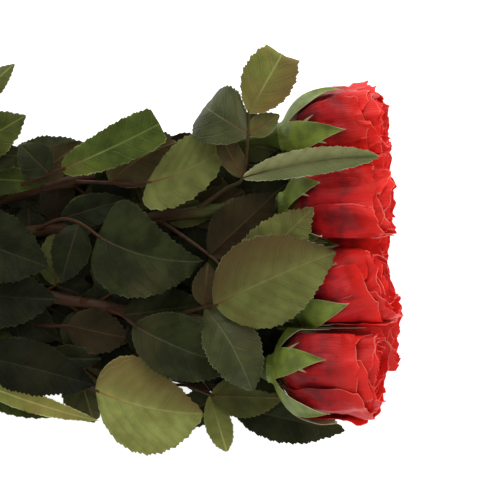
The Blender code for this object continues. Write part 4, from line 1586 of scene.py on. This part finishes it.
@dataclass
class Calyx:
    """The five sepals under a bloom: broad blades with pale margins, long tips and side lobes."""

    rose: Rose
    width: float = 8.2
    thickness: float = 0.45
    lobe_thickness: float = 0.3
    clearance: float = 1.3
    columns: int = 8
    rows: int = 22
    lobe_columns: int = 2
    lobe_rows: int = 6
    lobes: tuple[tuple[float, int, float], ...] = ((0.42, 1, 6.0), (0.6, -1, 3.5))
    foot: float = -0.05
    seeds: tuple[float, float] = (5.1, 1.3)
    sharp: float = 60.0

    def half_width(self, v: float) -> float:
        """Say how wide the sepal is at one place: broad, then drawn out to a thread.

        Args:
            v: The place, from 0 at the base to 1 at the tip.

        Returns:
            Half the width there.
        """
        if v >= 1:
            return 0.0
        return self.width * ((v + 0.12) / 0.34) ** 0.6 * ((1 - v) / 0.78) ** 1.3

    def surface(self, turn: float, seed: float) -> Callable[[float, float], BladePoint]:
        """Make the function that shapes one sepal.

        Args:
            turn: The sepal's turn round the bloom, in degrees.
            seed: Sets this sepal's waves apart from the others'.

        Returns:
            The function from u and v to the sepal's point.
        """
        rose = self.rose
        axis = rose.axis()
        side, up = ring_frame(axis)
        hip = Vector(rose.hip)
        planes = rose.planes()
        reach = rose.sepal_length / rose.length
        turns_back = rose.hip[2] < rose.radius and sin(radians(turn)) < -0.4

        def surface(u: float, v: float) -> BladePoint:
            """Shape one point of the sepal."""
            s = self.foot + (reach - self.foot) * v
            half = self.half_width(v)
            outer = (rose.bloom_radius(s) if s > 0 else HIP_RIM_RADIUS - 1.4) + self.clearance
            outer += 2.0 * v + 1.0 * u * u * ease(v, 0.2, 0.7) * min(1.0, half / 3)
            outer += noise.noise(Vector((seed, v * 2.5, u * 0.8))) * 1.6 * v
            if turns_back:
                s = self.foot - 0.3 * v
                outer = HIP_RIM_RADIUS - 0.1 + 12 * v
            sweep = 2.5 * noise.noise(Vector((seed, v * 2, 5.0))) * v
            angle = radians(turn) + (u * half + sweep) / max(outer, 8.0)
            out = side * cos(angle) + up * sin(angle)
            points = []
            for depth in (self.thickness, 0.0):
                point = hip + axis * (s * rose.length) + out * (outer + depth)
                inner = self.thickness - depth
                points.append(pressed(point, planes, GAP / 2 + inner, GAP + inner))
            place = Vector((u * half, v * rose.sepal_length, (1 - abs(u)) * half))
            return BladePoint(points[0], points[1], place, Vector())

        return surface

    def lobe(
        self, sepal: Callable[[float, float], BladePoint], share: float, hand: int, length: float
    ) -> Callable[[float, float], BladePoint]:
        """Make the function that shapes a slim lobe on a sepal's edge.

        Args:
            sepal: The sepal's own function.
            share: Where along the sepal the lobe stands.
            hand: On which edge: 1 or -1.
            length: The lobe's length.

        Returns:
            The function from u and v to the lobe's point.
        """
        foot = sepal(0.85 * hand, share).front
        middle = sepal(0.0, share).front
        along = (sepal(0.0, share + 0.1).front - middle).normalized()
        away = (foot - middle).normalized()
        lift = along.cross(away).normalized() * -hand
        ahead = (along * 0.8 + away * 0.6).normalized()
        across = ahead.cross(lift).normalized()

        def surface(u: float, v: float) -> BladePoint:
            """Shape one point of the lobe."""
            half = 0.9 * (1 - v) ** 0.7
            bend = lift * (1.2 * v * v) + along * (1.2 * v * v)
            point = foot + ahead * (length * v) + across * (u * half) + bend
            place = Vector((u * half, v * length, (1 - abs(u)) * half + 0.3))
            skin = lift * (self.lobe_thickness / 2)
            return BladePoint(point + skin, point - skin, place, Vector())

        return surface

    def build(self) -> bpy.types.Object:
        """Build and dress the sepals.

        Returns:
            The piece.
        """
        builder = MeshBuilder(f"sepals_{self.rose.name}")
        first_seed, seed_step = self.seeds
        seed = first_seed * self.rose.number()
        for number, turn in enumerate(self.rose.sepals):
            sepal = self.surface(turn, seed)
            builder.blade(self.columns, self.rows, sepal, (0, 1))
            if number == 0:
                for share, hand, length in self.lobes:
                    lobe = self.lobe(sepal, share, hand, length)
                    builder.blade(self.lobe_columns, self.lobe_rows, lobe, (0, 1))
            seed += seed_step
        return builder.finish([SEPAL_OUTSIDE.material(), SEPAL_INSIDE.material()], self.sharp)


@dataclass
class Tie:
    """The raffia: one flat strand wound round the bare stems."""

    turns: int = 7
    strand_width: float = 2.6
    strand_thickness: float = 0.55
    strand_sides: int = 8
    seed: int = 5
    sharp: float = 60.0

    def outline(self, reach: float) -> list[Vector]:
        """Lay the line round the bundle of stems, seen along X.

        Args:
            reach: How far outside the stems' own lines it runs.

        Returns:
            The corners, with X at 0.
        """
        corners = []
        for y, z, first, last in (
            (2 * HALF, LOW, -90, -30),
            (3 * HALF, HIGH, -30, 90),
            (-3 * HALF, HIGH, 90, 210),
            (-2 * HALF, LOW, 210, 270),
        ):
            count = max(3, (last - first) // 15)
            for step in range(count + 1):
                angle = radians(first + (last - first) * step / count)
                corners.append(Vector((0.0, y + reach * cos(angle), z + reach * sin(angle))))
        return corners

    def build(self) -> bpy.types.Object:
        """Build and dress the tie.

        Returns:
            The piece.
        """
        builder = MeshBuilder("raffia_tie")
        draw = random.Random(self.seed)
        corners = self.outline(STEM_RADIUS + GAP + 0.3)
        count = len(corners)
        start = TIE_X - TIE_WIDTH / 2 + self.strand_width / 2
        pitch = (TIE_WIDTH - self.strand_width) / (self.turns - 1)
        middle = UP * ((LOW + HIGH) / 2)
        for turn in range(self.turns):
            lean = draw.uniform(-1.2, 1.2)
            lift = draw.uniform(0.0, 0.5)
            rings = []
            for index in range(count + 1):
                corner = corners[index % count]
                t = index / count
                outward = (corner - middle).normalized()
                place = corner + FORWARD * (start + pitch * turn + lean * sin(2 * pi * t))
                place += outward * (lift * (corner.z > LOW))
                width = FORWARD * (self.strand_width / 2 * (1 + 0.15 * sin(9 * t + turn)))
                rings.append(Ring(place, width, outward * (self.strand_thickness / 2)))
            builder.tube(rings, self.strand_sides)
        return builder.finish([RaffiaFinish().material()], self.sharp)


@dataclass(frozen=True)
class SoftBox:
    """A soft studio light: where it stands, its size in metres and its power in watts."""

    name: str
    place: tuple[float, float, float]
    size: float
    watts: float


@dataclass
class Studio:
    """A plain white floor, soft lights and a camera that looks straight down.

    Lengths are in metres, but for those with mm in their names.
    """

    side_mm: float = 275.0
    centre_mm: tuple[float, float, float] = (122.0, 0.0, 50.0)
    view_angle: float = 12.0
    floor_side: float = 6.0
    floor_drop: float = 0.0004
    room_light: float = 0.28
    aim: tuple[float, float, float] = (0.12, 0.0, 0.04)
    boxes: tuple[SoftBox, ...] = (
        SoftBox("light_top", (0.12, 0.85, 0.5), 0.9, 6.5),
        SoftBox("light_right", (1.0, 0.1, 0.45), 0.8, 5.5),
        SoftBox("light_front", (0.05, -0.85, 0.7), 0.9, 3.0),
        SoftBox("light_above", (-0.3, 0.5, 1.2), 0.9, 2.5),
    )

    def floor(self) -> None:
        """Lay the floor. It glows a little, as a light table does, which keeps shadows faint."""
        bm = bmesh.new()
        bmesh.ops.create_grid(bm, x_segments=1, y_segments=1, size=self.floor_side / 2)
        bmesh.ops.translate(bm, verts=bm.verts[:], vec=UP * -self.floor_drop)
        mesh = bpy.data.meshes.new("floor")
        bm.to_mesh(mesh)
        bm.free()
        white = bpy.data.materials.new("white_table")
        white.use_nodes = True
        looks = {
            "Base Color": (0.92, 0.92, 0.92, 1.0),
            "Roughness": 0.9,
            "Emission Color": (1.0, 1.0, 1.0, 1.0),
            "Emission Strength": 0.7,
        }
        fill_inputs(white.node_tree.nodes["Principled BSDF"], looks)
        mesh.materials.append(white)
        link_object("floor", mesh)

    def lights(self) -> None:
        """Hang the lights, each aimed at the bunch, and light the room evenly."""
        for box in self.boxes:
            data = bpy.data.lights.new(box.name, "AREA")
            data.shape = "SQUARE"
            data.size = box.size
            data.energy = box.watts
            obj = link_object(box.name, data)
            obj.location = box.place
            obj.rotation_mode = "QUATERNION"
            towards = Vector(self.aim) - Vector(box.place)
            obj.rotation_quaternion = towards.to_track_quat("-Z", "Y")
        world = bpy.data.worlds.new("studio")
        world.use_nodes = True
        room = {"Color": (1.0, 1.0, 1.0, 1.0), "Strength": self.room_light}
        fill_inputs(world.node_tree.nodes["Background"], room)
        bpy.context.scene.world = world

    def camera(self) -> None:
        """Set the camera over the photograph's centre, at its viewing angle."""
        data = bpy.data.cameras.new("camera")
        half = radians(self.view_angle / 2)
        data.lens = data.sensor_width / 2 / tan(half)
        obj = link_object("camera", data)
        distance = self.side_mm / 2 / tan(half)
        obj.location = (Vector(self.centre_mm) + FOOTPRINT_SHIFT + UP * distance) * MM
        data.clip_start = 0.05
        data.clip_end = 20.0
        bpy.context.scene.camera = obj

    def build(self) -> None:
        """Build the whole studio."""
        self.floor()
        self.lights()
        self.camera()
        bpy.context.scene.view_settings.view_transform = "Standard"


def clear_startup() -> None:
    """Remove every object that the file opened with."""
    for obj in list(bpy.data.objects):
        bpy.data.objects.remove(obj, do_unlink=True)


def main() -> None:
    """Load the frame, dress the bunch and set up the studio."""
    logging.basicConfig(level=logging.INFO, format="%(message)s")
    clear_startup()
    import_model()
    for rose in ROSES:
        place_piece(Bloom(rose).build(), "petal", f"rose_{rose.name}_bloom")
        place_piece(Stem(rose).build(), "leaf", f"rose_{rose.name}_leafy_stem")
        place_piece(Calyx(rose).build(), "leaf")
        place_piece(Leaves(rose).build(), "leaf")
    place_piece(Tie().build(), "raffia", "tie")
    Studio().build()


if __name__ == "__main__":
    main()
